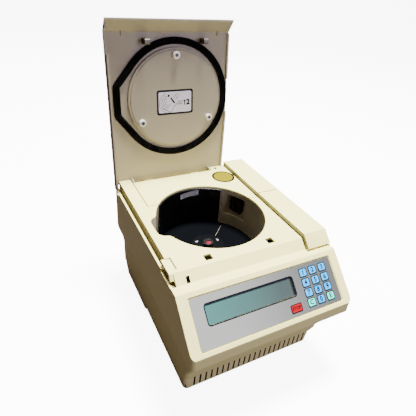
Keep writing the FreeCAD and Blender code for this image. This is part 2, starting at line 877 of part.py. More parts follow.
def side_cover(front_y, rear_edge_y, sloped):
    # hollow raised cover with a plinth that stands on the case inside its rim
    low_y = cover_foot_y if sloped else front_y
    bend_y = cover_bend_y if sloped else front_y
    outer_profile = [
        (low_y, parting_z),
        (bend_y, cover_top_z),
        (rear_edge_y, cover_top_z),
        (rear_edge_y, parting_z),
    ]
    radii = [0.6, edge_round + 0.5 if sloped else 0.6, 0.6, 0.6]
    outer = side_prism(outer_profile, cover_left_x, half_width, radii)
    outer = rounded_top(outer)
    hollow_profile = inset([
        (low_y, parting_z - cover_wall),
        (bend_y, cover_top_z),
        (rear_edge_y, cover_top_z),
        (rear_edge_y, parting_z - cover_wall),
    ], cover_wall)
    hollow = side_prism(hollow_profile, cover_left_x + cover_wall, half_width - cover_wall)
    plinth_front = low_y + (5.0 if sloped else plinth_inset)
    x0 = cover_left_x + plinth_inset
    x1 = half_width - rim_thickness - fit_gap
    y1 = rear_edge_y - plinth_inset
    plinth = box(x0, x1, plinth_front, y1, ledge_z, parting_z)
    well = box(x0 + cover_wall, x1 - cover_wall, plinth_front + cover_wall, y1 - cover_wall,
               ledge_z - 1, parting_z + 3)
    floor_keep = box(cover_left_x - 1, half_width + 1, low_y - 1, rear_edge_y + 1, parting_z, parting_z + 2.5)
    shell = outer.cut(hollow.cut(floor_keep)).fuse(plinth).cut(well)
    return shell.removeSplitter()


def rounded_top(cover):
    # rounds the two long upper edges
    edges = [edge for edge in cover.Edges
             if abs(edge.BoundBox.ZMin - cover_top_z) < 0.01 and abs(edge.BoundBox.ZMax - cover_top_z) < 0.01
             and edge.BoundBox.XLength < 0.01 and edge.BoundBox.YLength > 20]
    return cover.makeFillet(1.0, edges)


def tray_body(depth, floor_z):
    # tray as a solid, its rear part a little wider than its front
    radius = corner_radius - depth
    low_ratio = (floor_z - foot_height) / (tray_mid_z - foot_height)

    def low(bottom, middle):
        return bottom + (middle - bottom) * low_ratio

    main = rect_loft([
        (low(tray_low_half, tray_mid_half) - depth, low(tray_low_front_y, tray_mid_front_y) + depth,
         low(tray_low_rear_y, tray_mid_rear_y) - depth, radius, floor_z),
        (tray_mid_half - depth, tray_mid_front_y + depth, tray_mid_rear_y - depth, radius, tray_mid_z),
        (tray_top_half - depth, tray_top_front_y + depth, tray_top_rear_y - depth, radius, split_z),
    ])
    wide = rect_loft([
        (low(tray_wide_half, tray_wide_half) - depth, tray_wide_y + depth,
         low(tray_low_rear_y, tray_mid_rear_y) - depth, radius, floor_z),
        (tray_wide_half + 0.4 - depth, tray_wide_y + depth, tray_mid_rear_y - depth, radius, tray_mid_z),
        (tray_top_half - depth, tray_wide_y + depth, tray_top_rear_y - depth, radius, split_z),
    ])
    return main.fuse(wide)


def base_tray():
    tray = tray_body(0, foot_height).cut(tray_body(wall, foot_height + wall))
    half = half_width - underside[0][1] - wall - fit_gap
    front = lip_front_y + underside[0][2] + wall + fit_gap
    rear = rear_y - wall - fit_gap
    lip_low = split_z - 3
    lip = rounded_box(-half, half, front, rear, lip_low, split_z + tray_lip_height, corner_radius - wall)
    inner = tray_lip_thickness
    lip = lip.cut(rounded_box(-half + inner, half - inner, front + inner, rear - inner, lip_low - 1,
                              split_z + tray_lip_height + 1, corner_radius - wall - 1))
    lip = lip.cut(box(inlet_x - 20, inlet_x + 20, rear - 4, rear + 1, split_z + 2, split_z + 9))
    posts = []
    cuts = []
    for x, y in case_screw_places():
        posts.append(post(case_boss_radius, x, y, foot_height + 1, split_z + tray_lip_height))
        cuts.append(post(case_screw_head + 0.4, x, y, foot_height - 1, foot_height + wall + 0.3))
        cuts.append(post(case_screw_radius + 0.1, x, y, foot_height, split_z + tray_lip_height + 1))
    pitch = (vent_last_x - vent_first_x) / (vent_count - 1)
    for i in range(vent_count):
        x = vent_first_x + pitch * i
        cuts.append(box(x - vent_width / 2, x + vent_width / 2, tray_top_front_y - 1,
                        tray_top_front_y + wall + 1, vent_low_z, vent_high_z))
    return tray.multiFuse([lip] + posts).cut(cuts).removeSplitter()


def case_screws():
    # four long screws that go up through the tray
    screws = []
    for x, y in case_screw_places():
        seat = foot_height + wall + 0.3
        shank = post(case_screw_radius, x, y, seat, case_boss_top_z - 2)
        head = post(case_screw_head, x, y, seat - 2.2, seat)
        slot = box(x - case_screw_head, x + case_screw_head, y - 0.5, y + 0.5, seat - 3, seat - 1.3)
        screws.append(head.fuse(shank).cut(slot))
    return Part.makeCompound(screws)


def feet():
    pads = []
    for x in (-foot_x, foot_x):
        for y in (foot_front_y, foot_rear_y):
            pads.append(turned([(0, 0.8), (foot_radius - 4, 0.8), (foot_radius - 3.4, 0),
                                (foot_radius - 0.8, 0), (foot_radius, foot_height), (0, foot_height)], x, y))
    return Part.makeCompound(pads)


# Chamber

def pocket_corners():
    return [polar(bowl_x, bowl_y, bowl_radius + depth, angle) for depth, angle in pocket_places]


def pocket_prism(grow, z0, z1):
    corners = pocket_corners()
    return plan_prism(inset(corners, -grow) if grow > 0 else corners, z0, z1)


def chamber_bowl():
    # drawn liner with a floor, the notch and the reading pocket
    outer = bowl_outline(bowl_wall, bowl_floor_z - bowl_wall, deck_under_z)
    outer = outer.fuse(pocket_prism(bowl_wall, pocket_low_z - bowl_wall, pocket_high_z + bowl_wall))
    cuts = [
        bowl_outline(0, bowl_floor_z, deck_under_z + 1),
        pocket_prism(0, pocket_low_z, pocket_high_z),
        post(floor_hole_radius, bowl_x, bowl_y, bowl_floor_z - bowl_wall - 1, bowl_floor_z + 1),
    ]
    return outer.cut(cuts).removeSplitter()


def chamber_mat():
    # soft disc on the floor, split by one radial cut
    top = bowl_floor_z + mat_thickness
    mat = post(bowl_radius - mat_edge, bowl_x, bowl_y, bowl_floor_z, top)
    hole = post(housing_radius + fit_gap, bowl_x, bowl_y, bowl_floor_z - 1, top + 1)
    slit = box(bowl_x + mat_slit_inner, bowl_x + mat_slit_outer, bowl_y - mat_slit_width / 2,
               bowl_y + mat_slit_width / 2, bowl_floor_z - 1, top + 1)
    slit.rotate(vec(bowl_x, bowl_y, 0), vec(0, 0, 1), mat_slit_angle)
    return mat.cut([hole, slit])


def wall_shield():
    outer = bowl_radius - fit_gap
    inner = outer - shield_thickness
    low = bowl_floor_z + mat_thickness + fit_gap
    profile = outline([
        vec(bowl_x + inner, bowl_y, low),
        vec(bowl_x + outer, bowl_y, low),
        vec(bowl_x + outer, bowl_y, deck_under_z - fit_gap),
        vec(bowl_x + inner, bowl_y, deck_under_z - fit_gap),
    ], [0, 0, 0.8, 0.8])
    shield = Part.Face(profile).revolve(vec(bowl_x, bowl_y, 0), vec(0, 0, 1), shield_end - shield_start)
    shield.rotate(vec(bowl_x, bowl_y, 0), vec(0, 0, 1), shield_start)
    return shield


def spindle_housing():
    low = bowl_floor_z
    housing = turned([(0, low), (housing_radius, low), (housing_radius, low + 2.5),
                      (housing_top_radius + 1, housing_top_z - 1), (housing_top_radius - 0.5, housing_top_z),
                      (0, housing_top_z)], bowl_x, bowl_y)
    collar = post(floor_hole_radius - fit_gap, bowl_x, bowl_y, bowl_floor_z - bowl_wall, low)
    cuts = [
        post(shaft_radius + 1.5, bowl_x, bowl_y, low - 5, housing_top_z + 1),
        post(bearing_radius + pin_press, bowl_x, bowl_y, low - 5, bearing_top_z()),
    ]
    for angle in spindle_screw_angles:
        x, y = polar(bowl_x, bowl_y, spindle_screw_circle, angle)
        cuts.append(post(2.8, x, y, housing_top_z - 1.5, housing_top_z + 1))
        cuts.append(post(case_screw_radius + 0.05, x, y, bowl_floor_z + 0.1, housing_top_z))
    return housing.fuse(collar).cut(cuts).removeSplitter()


def bearing_top_z():
    return bowl_floor_z + 5.0


def spindle_bearing():
    top = bearing_top_z()
    low = top - bearing_height
    race = turned([
        (shaft_radius + shaft_play, low),
        (shaft_radius + 2.4, low),
        (shaft_radius + 2.4, low + 0.6),
        (bearing_radius - 2.2, low + 0.6),
        (bearing_radius - 2.2, low),
        (bearing_radius, low),
        (bearing_radius, top),
        (shaft_radius + shaft_play, top),
    ], bowl_x, bowl_y)
    return race


def spindle_screws():
    screws = []
    for angle in spindle_screw_angles:
        x, y = polar(bowl_x, bowl_y, spindle_screw_circle, angle)
        screws.append(slotted_screw(x, y, housing_top_z - 1.5, case_screw_radius, 2.6, 1.9, 10.4, angle + 20))
    return Part.makeCompound(screws)


def motor_shaft():
    low = motor_top_z - motor_length + 8
    return turned([(0, low), (shaft_radius, low), (shaft_radius, hub_top_z - 2.5),
                   (shaft_radius - 0.6, hub_top_z - 1.9), (0, hub_top_z - 1.9)], bowl_x, bowl_y)


def drive_hub():
    # collar on the shaft that a tube carousel drops over
    low = housing_top_z + fit_gap
    collar = turned([
        (shaft_radius + pin_press, low),
        (hub_radius, low),
        (hub_radius, hub_top_z - 0.8),
        (hub_radius - 0.8, hub_top_z),
        (hub_radius - 1.8, hub_top_z),
        (hub_radius - 1.8, hub_top_z - 1.6),
        (shaft_radius + pin_press, hub_top_z - 1.6),
    ], bowl_x, bowl_y)
    key = box(bowl_x - hub_radius - 1.2, bowl_x - hub_radius + 0.8, bowl_y - 1.2, bowl_y + 1.2,
              low, hub_top_z - 1.5)
    return collar.fuse(key).removeSplitter()


def hub_insert():
    # two rounded lobes set in the collar beside the end of the shaft
    top = hub_top_z - 0.4
    low = hub_top_z - 1.6
    ring = post(hub_radius - 2.0, bowl_x, bowl_y, low, top)
    ring = ring.cut(post(shaft_radius + 0.2, bowl_x, bowl_y, low - 1, hub_top_z - 1.0))
    waist = [post(2.6, bowl_x + side * 5.6, bowl_y, low - 1, top + 1) for side in (-1, 1)]
    return ring.cut(waist)


def motor_body():
    low = motor_top_z - motor_length
    can = turned([
        (0, low),
        (motor_radius - 3, low),
        (motor_radius, low + 3),
        (motor_radius, motor_top_z - 4),
        (motor_radius - 2, motor_top_z - 4),
        (motor_radius - 2, motor_top_z),
        (0, motor_top_z),
    ], bowl_x, bowl_y)
    pilot = post(11.0, bowl_x, bowl_y, motor_top_z, motor_top_z + bracket_thickness)
    bore = post(shaft_radius + shaft_play, bowl_x, bowl_y, low + 6, motor_top_z + 10)
    return can.fuse(pilot).cut(bore).removeSplitter()


def isolator_places():
    return [polar(bowl_x, bowl_y, isolator_circle, angle) for angle in (30, 150, 270)]


def bracket_screw_places():
    return [polar(bowl_x, bowl_y, motor_radius - 9, angle) for angle in (0, 90, 180, 270)]


def motor_bracket():
    top = motor_top_z + bracket_thickness
    plate = post(bracket_radius, bowl_x, bowl_y, motor_top_z, top)
    cuts = [post(11.0 + fit_gap, bowl_x, bowl_y, motor_top_z - 1, top + 1)]
    for angle in (90, 210, 330):
        x, y = polar(bowl_x, bowl_y, bracket_radius + 10, angle)
        cuts.append(post(24.0, x, y, motor_top_z - 1, top + 1))
    for x, y in bracket_screw_places():
        cuts.append(post(case_screw_radius + 0.1, x, y, motor_top_z - 1, top + 1))
    return plate.cut(cuts)


def bracket_screws():
    top = motor_top_z + bracket_thickness
    return Part.makeCompound([slotted_screw(x, y, top, case_screw_radius, 2.8, 2.0, bracket_thickness)
                              for x, y in bracket_screw_places()])


def motor_isolators():
    low = motor_top_z + bracket_thickness
    high = bowl_floor_z - bowl_wall
    middle = (low + high) / 2
    return Part.makeCompound([turned([(0, low), (isolator_radius, low), (isolator_radius, low + 1),
                                      (isolator_radius - 1.5, middle), (isolator_radius, high - 1),
                                      (isolator_radius, high), (0, high)], x, y)
                              for x, y in isolator_places()])


reader_half_length = 12.0
reader_thickness = 9.0
reader_low_z = 146.0
reader_high_z = 170.0
lens_radius = 4.5
lens_length = 3.0


def reader_frame():
    # middle of the pocket's far wall, and directions along it and towards the chamber
    (ax, ay), (bx, by) = pocket_corners()[1:3]
    length = math.hypot(bx - ax, by - ay)
    along = ((bx - ax) / length, (by - ay) / length)
    inward = (along[1], -along[0])
    return ((ax + bx) / 2, (ay + by) / 2), along, inward


def reader_block():
    (mx, my), along, inward = reader_frame()
    corners = []
    for s, t in ((-1, fit_gap), (1, fit_gap), (1, reader_thickness), (-1, reader_thickness)):
        corners.append((mx + along[0] * s * reader_half_length + inward[0] * t,
                        my + along[1] * s * reader_half_length + inward[1] * t))
    return plan_prism(corners, reader_low_z, reader_high_z, [0, 0, 1.5, 1.5])


def reader_lens():
    (mx, my), along, inward = reader_frame()
    z = (reader_low_z + reader_high_z) / 2
    start = vec(mx + inward[0] * reader_thickness, my + inward[1] * reader_thickness, z)
    direction = vec(inward[0], inward[1], 0)
    barrel = Part.makeCylinder(lens_radius, lens_length, start, direction)
    dish = Part.makeSphere(lens_radius * 1.6, start + direction * (lens_length + lens_radius * 1.35))
    return barrel.cut(dish)


# Lid

def flange_inner_offset():
    # how far the inner face of the sloping flange lies from its outer face, along Y
    rise = lid_top_z - lid_tip_z
    run = lid_bend_y - lid_tip_y
    return lid_flange_thickness * math.hypot(rise, run) / rise


def flange_y(z):
    ratio = (lid_bend_y - lid_tip_y) / (lid_top_z - lid_tip_z)
    return lid_bend_y - (lid_top_z - z) * ratio


def lid_shell():
    off = flange_inner_offset()
    plate_points = [
        (lid_left_x, lid_bend_y + 5),
        (lid_right_x, lid_bend_y + 5),
        (lid_right_x, lid_taper_start_y),
        (lid_right_rear_x, lid_plate_rear_y),
        (well_right_x - 0.2, lid_plate_rear_y),
        (well_right_x - 0.2, lid_tongue_rear_y),
        (well_left_x + 0.6, lid_tongue_rear_y),
        (well_left_x + 0.6, lid_plate_rear_y),
        (lid_left_x + skirt_thickness, lid_plate_rear_y),
        (lid_left_x + skirt_thickness, lid_tongue_rear_y),
        (lid_left_x, lid_tongue_rear_y),
    ]
    plate = plan_prism(plate_points, lid_inner_z, lid_top_z, [0, 0, 0, 4, 0, 3, 3, 0, 0, 0, 0])
    flange = side_prism([
        (lid_bend_y + 8, lid_top_z),
        (lid_bend_y, lid_top_z),
        (lid_tip_y, lid_tip_z),
        (lid_tip_y + off, lid_tip_z),
        (flange_y(lid_inner_z) + off, lid_inner_z),
        (lid_bend_y + 8, lid_inner_z),
    ], lid_left_x, lid_right_x, [0, 3.5, 0.8, 0.8, 1.5, 0])
    skirt = side_prism([
        (lid_bend_y, lid_top_z),
        (lid_tip_y, lid_tip_z),
        (lid_tip_y + off, lid_tip_z),
        (lid_tip_y + off + 2, skirt_low_z),
        (lid_tongue_rear_y, skirt_low_z),
        (lid_tongue_rear_y, lid_top_z),
    ], lid_left_x, lid_left_x + skirt_thickness, [3.5, 0.8, 0, 0, 3, 0])
    skirt = skirt.cut(side_prism([
        (skirt_notch_front_y, lid_tip_z - 1),
        (skirt_notch_front_y, lid_top_z - skirt_notch_depth),
        (skirt_notch_rear_y, lid_top_z - skirt_notch_depth),
        (skirt_notch_rear_y, lid_tip_z - 1),
    ], lid_left_x - 1, lid_left_x + skirt_thickness + 1, [0, 2, 2, 0]))
    lip_points = [
        (lid_right_x - lip_depth, lid_bend_y + 3),
        (lid_right_x, lid_bend_y + 3),
        (lid_right_x, lid_taper_start_y),
        (lid_right_rear_x, lid_plate_rear_y),
        (lid_right_rear_x - lip_depth, lid_plate_rear_y),
        (lid_right_x - lip_depth, lid_taper_start_y),
    ]
    lip = plan_prism(lip_points, lid_inner_z - lip_depth, lid_inner_z + 1)
    clear_radius = gasket_outer_radius + bead_gap + bead_width
    reach = math.sqrt(clear_radius ** 2 - (lid_right_x - lip_depth - bowl_x) ** 2) + 2
    lip = lip.cut(box(lid_right_x - 20, lid_right_x + 1, bowl_y - reach, bowl_y + reach,
                      lid_inner_z - lip_depth - 1, lid_inner_z))
    ribs = [box(x - 0.6, x + 0.6, lid_bend_y - 1.5, lid_bend_y + 6, lid_inner_z - 2.5, lid_inner_z + 1)
            for x in (lid_left_x + 25.4, lid_right_x - 21.0)]
    arms = []
    bores = []
    for x0, x1 in arm_spans():
        knuckle = rod_x(arm_radius, hinge_y, hinge_z, x0, x1)
        web = box(x0, x1, hinge_y - arm_radius, hinge_y + arm_radius, hinge_z, lid_inner_z + 1)
        arms += [knuckle, web]
        bores.append(rod_x(pin_radius + pin_play, hinge_y, hinge_z, x0 - 1, x1 + 1))
    seats = []
    for angle in knob_angles:
        x, y = polar(bowl_x, bowl_y, knob_circle, angle)
        seats.append(post(knob_screw_radius + 0.1, x, y, lid_inner_z - 1, lid_top_z - 1))
    lid = plate.multiFuse([flange, skirt, lip, gasket_bead()] + ribs + arms).cut(bores + seats)
    return opened(lid.removeSplitter())


def arm_spans():
    left = well_left_x + arm_side_gap
    right = well_right_x - arm_side_gap
    return [(left, left + arm_thickness), (right - arm_thickness, right)]


def lid_inner_plate():
    low = inner_plate_z
    step = inner_plate_radius - inner_plate_step
    disc = turned([
        (0, lid_inner_z),
        (inner_plate_radius, lid_inner_z),
        (inner_plate_radius, low + 1.6),
        (inner_plate_radius - 0.6, low + 1.0),
        (step + 0.8, low + 1.0),
        (step, low),
        (0, low),
    ], bowl_x, bowl_y)
    holes = []
    for angle in knob_angles:
        x, y = polar(bowl_x, bowl_y, knob_circle, angle)
        holes.append(post(knob_screw_radius + 0.1, x, y, low - 1, lid_inner_z + 1))
    return opened(disc.cut(holes))


def tangent_point(px, py, radius, side):
    reach = math.hypot(px - bowl_x, py - bowl_y)
    toward = math.degrees(math.atan2(py - bowl_y, px - bowl_x))
    half = math.degrees(math.acos(radius / reach))
    return polar(bowl_x, bowl_y, radius, toward + side * half)


def bulged_disc(radius, left_x, corner, z0, z1):
    # circle joined by tangents to a straight stretch on its left
    rear = (left_x, gasket_rear_y)
    front = (left_x, gasket_front_y)
    web = plan_prism([front, rear, tangent_point(*rear, radius, -1), (bowl_x, bowl_y),
                      tangent_point(*front, radius, 1)], z0, z1, [corner, corner, 0, 0, 0])
    return post(radius, bowl_x, bowl_y, z0, z1).fuse(web).removeSplitter()


def lid_gasket():
    low = deck_z + gasket_gap
    ring = bulged_disc(gasket_outer_radius, gasket_outer_x, gasket_corner, low, lid_inner_z)
    inner_corner = gasket_corner - gasket_outer_radius + gasket_inner_radius
    hole = bulged_disc(gasket_inner_radius, gasket_inner_x, inner_corner, low - 1, lid_inner_z + 1)
    return opened(ring.cut(hole))


def gasket_bead():
    # thin raised line on the lid that runs around the gasket, up to the lid's right edge
    low = lid_inner_z - bead_height
    outer = bulged_disc(gasket_outer_radius + bead_gap + bead_width, gasket_outer_x - bead_gap - bead_width,
                        gasket_corner + bead_gap + bead_width, low, lid_inner_z + 1)
    inner = bulged_disc(gasket_outer_radius + bead_gap, gasket_outer_x - bead_gap, gasket_corner + bead_gap,
                        low - 1, lid_inner_z + 2)
    keep = box(lid_left_x + skirt_thickness, lid_right_x, lid_bend_y, lid_plate_rear_y, low - 1, lid_inner_z + 2)
    half_x = striker_size_x / 2 + bead_gap
    half_y = striker_size_y / 2 + bead_gap
    clear = [box(x - half_x, x + half_x, striker_y - half_y, striker_y + half_y, low - 1, lid_inner_z + 2)
             for x in striker_x]
    return outer.cut([inner] + clear).common(keep)


def lid_knobs():
    knobs = []
    for angle in knob_angles:
        x, y = polar(bowl_x, bowl_y, knob_circle, angle)
        low = inner_plate_z - knob_length
        knob = turned([(0, low), (knob_radius - 0.8, low), (knob_radius, low + 0.8),
                       (knob_radius, inner_plate_z), (0, inner_plate_z)], x, y)
        knobs.append(knob.cut([post(knob_screw_radius + 0.1, x, y, low - 1, inner_plate_z + 1),
                               post(3.0, x, y, low - 1, low + 2.0)]))
    return opened(Part.makeCompound(knobs))


def lid_screws():
    screws = []
    for angle in knob_angles:
        x, y = polar(bowl_x, bowl_y, knob_circle, angle)
        seat = inner_plate_z - knob_length + 2.0
        head = post(2.7, x, y, seat - 1.6, seat)
        shank = post(knob_screw_radius, x, y, seat, lid_top_z - 1.2)
        cross = [box(x - 1.8, x + 1.8, y - 0.4, y + 0.4, seat - 2, seat - 0.8),
                 box(x - 0.4, x + 0.4, y - 1.8, y + 1.8, seat - 2, seat - 0.8)]
        screws.append(head.fuse(shank).cut(cross))
    return opened(Part.makeCompound(screws))


def lid_strikers():
    # posts on the lid that go down through the deck, each with a window for the latch
    posts = []
    for x in striker_x:
        half_x = striker_size_x / 2
        half_y = striker_size_y / 2
        body = side_prism([
            (striker_y - half_y, lid_inner_z),
            (striker_y - half_y, striker_tip_z),
            (striker_y + half_y, striker_tip_z),
            (striker_y + half_y, lid_inner_z),
        ], x - half_x, x + half_x, [0, 2.0, 2.0, 0])
        low = latch_bar_z - latch_gap
        window = box(x + half_x - striker_window, x + half_x + 1, striker_y - half_y - 1,
                     striker_y + half_y + 1, low, low + latch_bar_thickness + 2 * latch_gap)
        pocket = box(x - half_x - 1, x - half_x + striker_pocket, striker_y - half_y + striker_wall,
                     striker_y + half_y - striker_wall, striker_tip_z + 2 * striker_wall, lid_inner_z - 1)
        posts.append(body.cut([window, pocket]))
    return opened(Part.makeCompound(posts))


def hinge_pins():
    left_span, right_span = arm_spans()
    left = rod_x(pin_radius, hinge_y, hinge_z, pin_left_end_x, left_span[1] + 0.5)
    right = rod_x(pin_radius, hinge_y, hinge_z, right_span[0] - 0.5, pin_right_end_x)
    return Part.makeCompound([left, right])


# Latch

def latch_bar():
    # steel strip under the deck with a finger beside each striker
    z0 = latch_bar_z
    z1 = z0 + latch_bar_thickness
    strip = box(latch_bar_start_x, latch_bar_end_x, latch_bar_y, latch_bar_y + latch_bar_width, z0, z1)
    fingers = []
    for x in striker_x:
        start = x + striker_size_x / 2 + latch_gap
        fingers.append(box(start, start + latch_finger_width, latch_bar_y + latch_bar_width - 1,
                           striker_y + 2, z0, z1))
    return fused([strip] + fingers)


def latch_plunger():
    y = latch_bar_y + latch_bar_width / 2
    z = latch_bar_z + latch_bar_thickness / 2
    return rod_x(plunger_radius, y, z, latch_bar_end_x, solenoid_x + 12)


def latch_solenoid():
    y = latch_bar_y + latch_bar_width / 2
    z = latch_bar_z + latch_bar_thickness / 2
    x1 = solenoid_x + solenoid_length
    coil = rod_x(5.2, y, z, solenoid_x + 2, x1 - 2)
    half = 5.5
    yoke = box(solenoid_x, x1, y - half + 2.3, y + half, z - half, deck_under_z)
    yoke = yoke.cut(box(solenoid_x + 2, x1 - 2, y - half - 3, y + half - 1.5, z - half - 1, z + half - 0.5))
    bore = rod_x(plunger_radius + 0.05, y, z, solenoid_x - 1, solenoid_x + 17)
    return yoke.fuse(coil).cut(bore).removeSplitter()


def latch_guides():
    # hooked brackets under the deck that the bar slides in, and the anchor of its spring
    y0 = latch_bar_y - 0.8
    y1 = latch_bar_y + latch_bar_width + 4
    low = latch_bar_z - 2.5
    shapes = []
    for x in guide_x:
        block = box(x - guide_width / 2, x + guide_width / 2, y0, y1, low, deck_under_z)
        slot = box(x - guide_width, x + guide_width, y0 - 1, latch_bar_y + latch_bar_width + fit_gap,
                   latch_bar_z - fit_gap, latch_bar_z + latch_bar_thickness + fit_gap)
        shapes.append(block.cut(slot))
    anchor_x = latch_bar_start_x - spring_length - 0.1
    shapes.append(box(anchor_x - 3, anchor_x, y0, y1, low, deck_under_z))
    return Part.makeCompound(shapes)


def strip_prism(points, thickness, z0, z1, radius):
    # bent strip, its outer side along the points
    ahead = []
    for i, (x, y) in enumerate(points):
        before = points[max(i - 1, 0)]
        after = points[min(i + 1, len(points) - 1)]
        dx, dy = after[0] - before[0], after[1] - before[1]
        length = math.hypot(dx, dy)
        ahead.append((x - dy / length * thickness, y + dx / length * thickness))
    radii = [0] + [radius] * (len(points) - 2) + [0]
    inner = [0] + [max(radius - thickness, 0.1)] * (len(points) - 2) + [0]
    return plan_prism(points + ahead[::-1], z0, z1, radii + inner)


def latch_spring():
    # bent leaf between its anchor and the end of the bar
    anchor_x = latch_bar_start_x - spring_length - 0.1
    low_y = latch_bar_y - 0.3
    high_y = latch_bar_y + latch_bar_width + 2
    z0 = latch_bar_z - 1
    leaf = [
        (anchor_x + 0.1, high_y),
        (anchor_x + 0.1, low_y + 1),
        (anchor_x + 2.4, low_y),
        (latch_bar_start_x - 1.6, high_y - 3),
        (latch_bar_start_x - 0.9, high_y),
    ]
    return strip_prism(leaf, spring_leaf, z0, z0 + latch_bar_thickness + 2, 0.8)


# Console pieces

def keypad_overlay():
    low = -recess_depth
    top = low + overlay_thickness
    film = rounded_box(recess_left_x + overlay_gap, recess_right_x - overlay_gap, recess_low + overlay_gap,
                       recess_high - overlay_gap, low, top, 2.5)
    film = film.cut(rounded_box(window_left_x, window_right_x, window_low, window_high, low - 1, top + 1,
                                window_corner))
    pads = []
    for x in key_columns:
        for row in key_rows:
            pads.append(rounded_box(x - key_width / 2, x + key_width / 2, row - key_height / 2,
                                    row + key_height / 2, low, top + key_relief, 1.5))
    pads.append(rounded_box(stop_x - stop_width / 2, stop_x + stop_width / 2, stop_row - stop_height / 2,
                            stop_row + stop_height / 2, low, top + key_relief, 1.5))
    return on_console(film.multiFuse(pads).removeSplitter())


def display_glass():
    gap = fit_gap
    return on_console(rounded_box(window_left_x + gap, window_right_x - gap, window_low + gap,
                                  window_high - gap, -wall, -wall + glass_thickness, 1.5))


def display_module():
    m = module_margin
    return on_console(box(window_left_x - m, window_right_x + m, window_low - m, window_high + m,
                          -wall - module_depth, -wall))


def standoff_places():
    return [(x, v) for x in (-board_half_width + 2, board_half_width - 2) for v in (standoff_low, standoff_high)]


def board_standoffs():
    return on_console(Part.makeCompound([post(standoff_radius, x, v, -board_depth, -wall)
                                         for x, v in standoff_places()]))


def main_board():
    edge = board_half_width + 1
    board = box(-edge, edge, board_low, board_high, -board_depth - board_thickness, -board_depth)
    holes = [post(1.3, x, v, -board_depth - 3, -board_depth + 1) for x, v in standoff_places()]
    return on_console(board.cut(holes))


def board_parts():
    # processor, memory, connectors and smoothing capacitors on the underside of the board
    top = -board_depth - board_thickness
    shapes = [
        box(-20, 8, 26, 40, top - 3.5, top),
        box(20, 38, 28, 36, top - 3.5, top),
        box(-60, -32, 50, 58, top - 9, top),
        box(50, 84, 50, 57, top - 9, top),
        post(5, -72, 30, top - 12, top),
        post(5, -58, 30, top - 12, top),
        box(50, 66, 22, 38, top - 14, top),
    ]
    return on_console(Part.makeCompound(shapes))


def board_screws():
    shapes = []
    for x, v in standoff_places():
        low = -board_depth - board_thickness
        shapes.append(post(2.6, x, v, low - 1.8, low).fuse(post(1.25, x, v, low, -board_depth)))
    return on_console(Part.makeCompound(shapes))


def power_supply():
    # sheet box with a row of vents in its front
    low = foot_height + wall
    high = low + supply_height
    sheet = supply_sheet
    case = box(supply_left_x, supply_right_x, supply_front_y, supply_rear_y, low, high)
    case = case.cut(box(supply_left_x + sheet, supply_right_x - sheet, supply_front_y + sheet,
                        supply_rear_y - sheet, low + sheet, high - sheet))
    vents = []
    for i in range(6):
        x = supply_left_x + supply_width * (i + 1) / 7
        vents.append(box(x - 1.5, x + 1.5, supply_front_y - 1, supply_front_y + 3, low + 8, high - 8))
    return case.cut(vents)


nodes = {
    "case_shell": case_shell,
    "rear_deck": rear_deck,
    "deck_screw": deck_screw,
    "side_cover_front": lambda: side_cover(cover_foot_y, cover_seam_y - seam_gap / 2, True),
    "side_cover_rear": lambda: side_cover(cover_seam_y + seam_gap / 2, rear_y, False),
    "base_tray": base_tray,
    "case_screws": case_screws,
    "feet": feet,
    "chamber_bowl": chamber_bowl,
    "chamber_mat": chamber_mat,
    "wall_shield": wall_shield,
    "reader_block": reader_block,
    "reader_lens": reader_lens,
    "spindle_housing": spindle_housing,
    "spindle_bearing": spindle_bearing,
    "spindle_screws": spindle_screws,
    "motor_shaft": motor_shaft,
    "drive_hub": drive_hub,
    "hub_insert": hub_insert,
    "motor_body": motor_body,
    "motor_bracket": motor_bracket,
    "bracket_screws": bracket_screws,
    "motor_isolators": motor_isolators,
    "lid_shell": lid_shell,
    "lid_inner_plate": lid_inner_plate,
    "lid_gasket": lid_gasket,
    "lid_knobs": lid_knobs,
    "lid_screws": lid_screws,
    "lid_strikers": lid_strikers,
    "hinge_pins": hinge_pins,
    "latch_bar": latch_bar,
    "latch_plunger": latch_plunger,
    "latch_solenoid": latch_solenoid,
    "latch_guides": latch_guides,
    "latch_spring": latch_spring,
    "keypad_overlay": keypad_overlay,
    "display_glass": display_glass,
    "display_module": display_module,
    "main_board": main_board,
    "board_parts": board_parts,
    "board_standoffs": board_standoffs,
    "board_screws": board_screws,
    "power_supply": power_supply,
    "power_inlet": lambda: power_inlet()[0],
    "inlet_prongs": lambda: power_inlet()[1],
    "inlet_screws": inlet_screws,
    "switch_frame": switch_frame,
    "power_switch": power_switch,
    "serial_port": serial_port,
    "serial_jacks": serial_jacks,
}

os.makedirs("parts", exist_ok=True)
for name, make in nodes.items():
    shape = make()
    shape.exportStep("parts/" + name + ".step")
    extent = shape.BoundBox
    print(name, len(shape.Solids), shape.isValid(), round(shape.Volume),
          [round(v, 2) for v in (extent.XMin, extent.XMax, extent.YMin, extent.YMax, extent.ZMin, extent.ZMax)])
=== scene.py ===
import json
import math

import bmesh
import bpy
from mathutils import Matrix, Vector

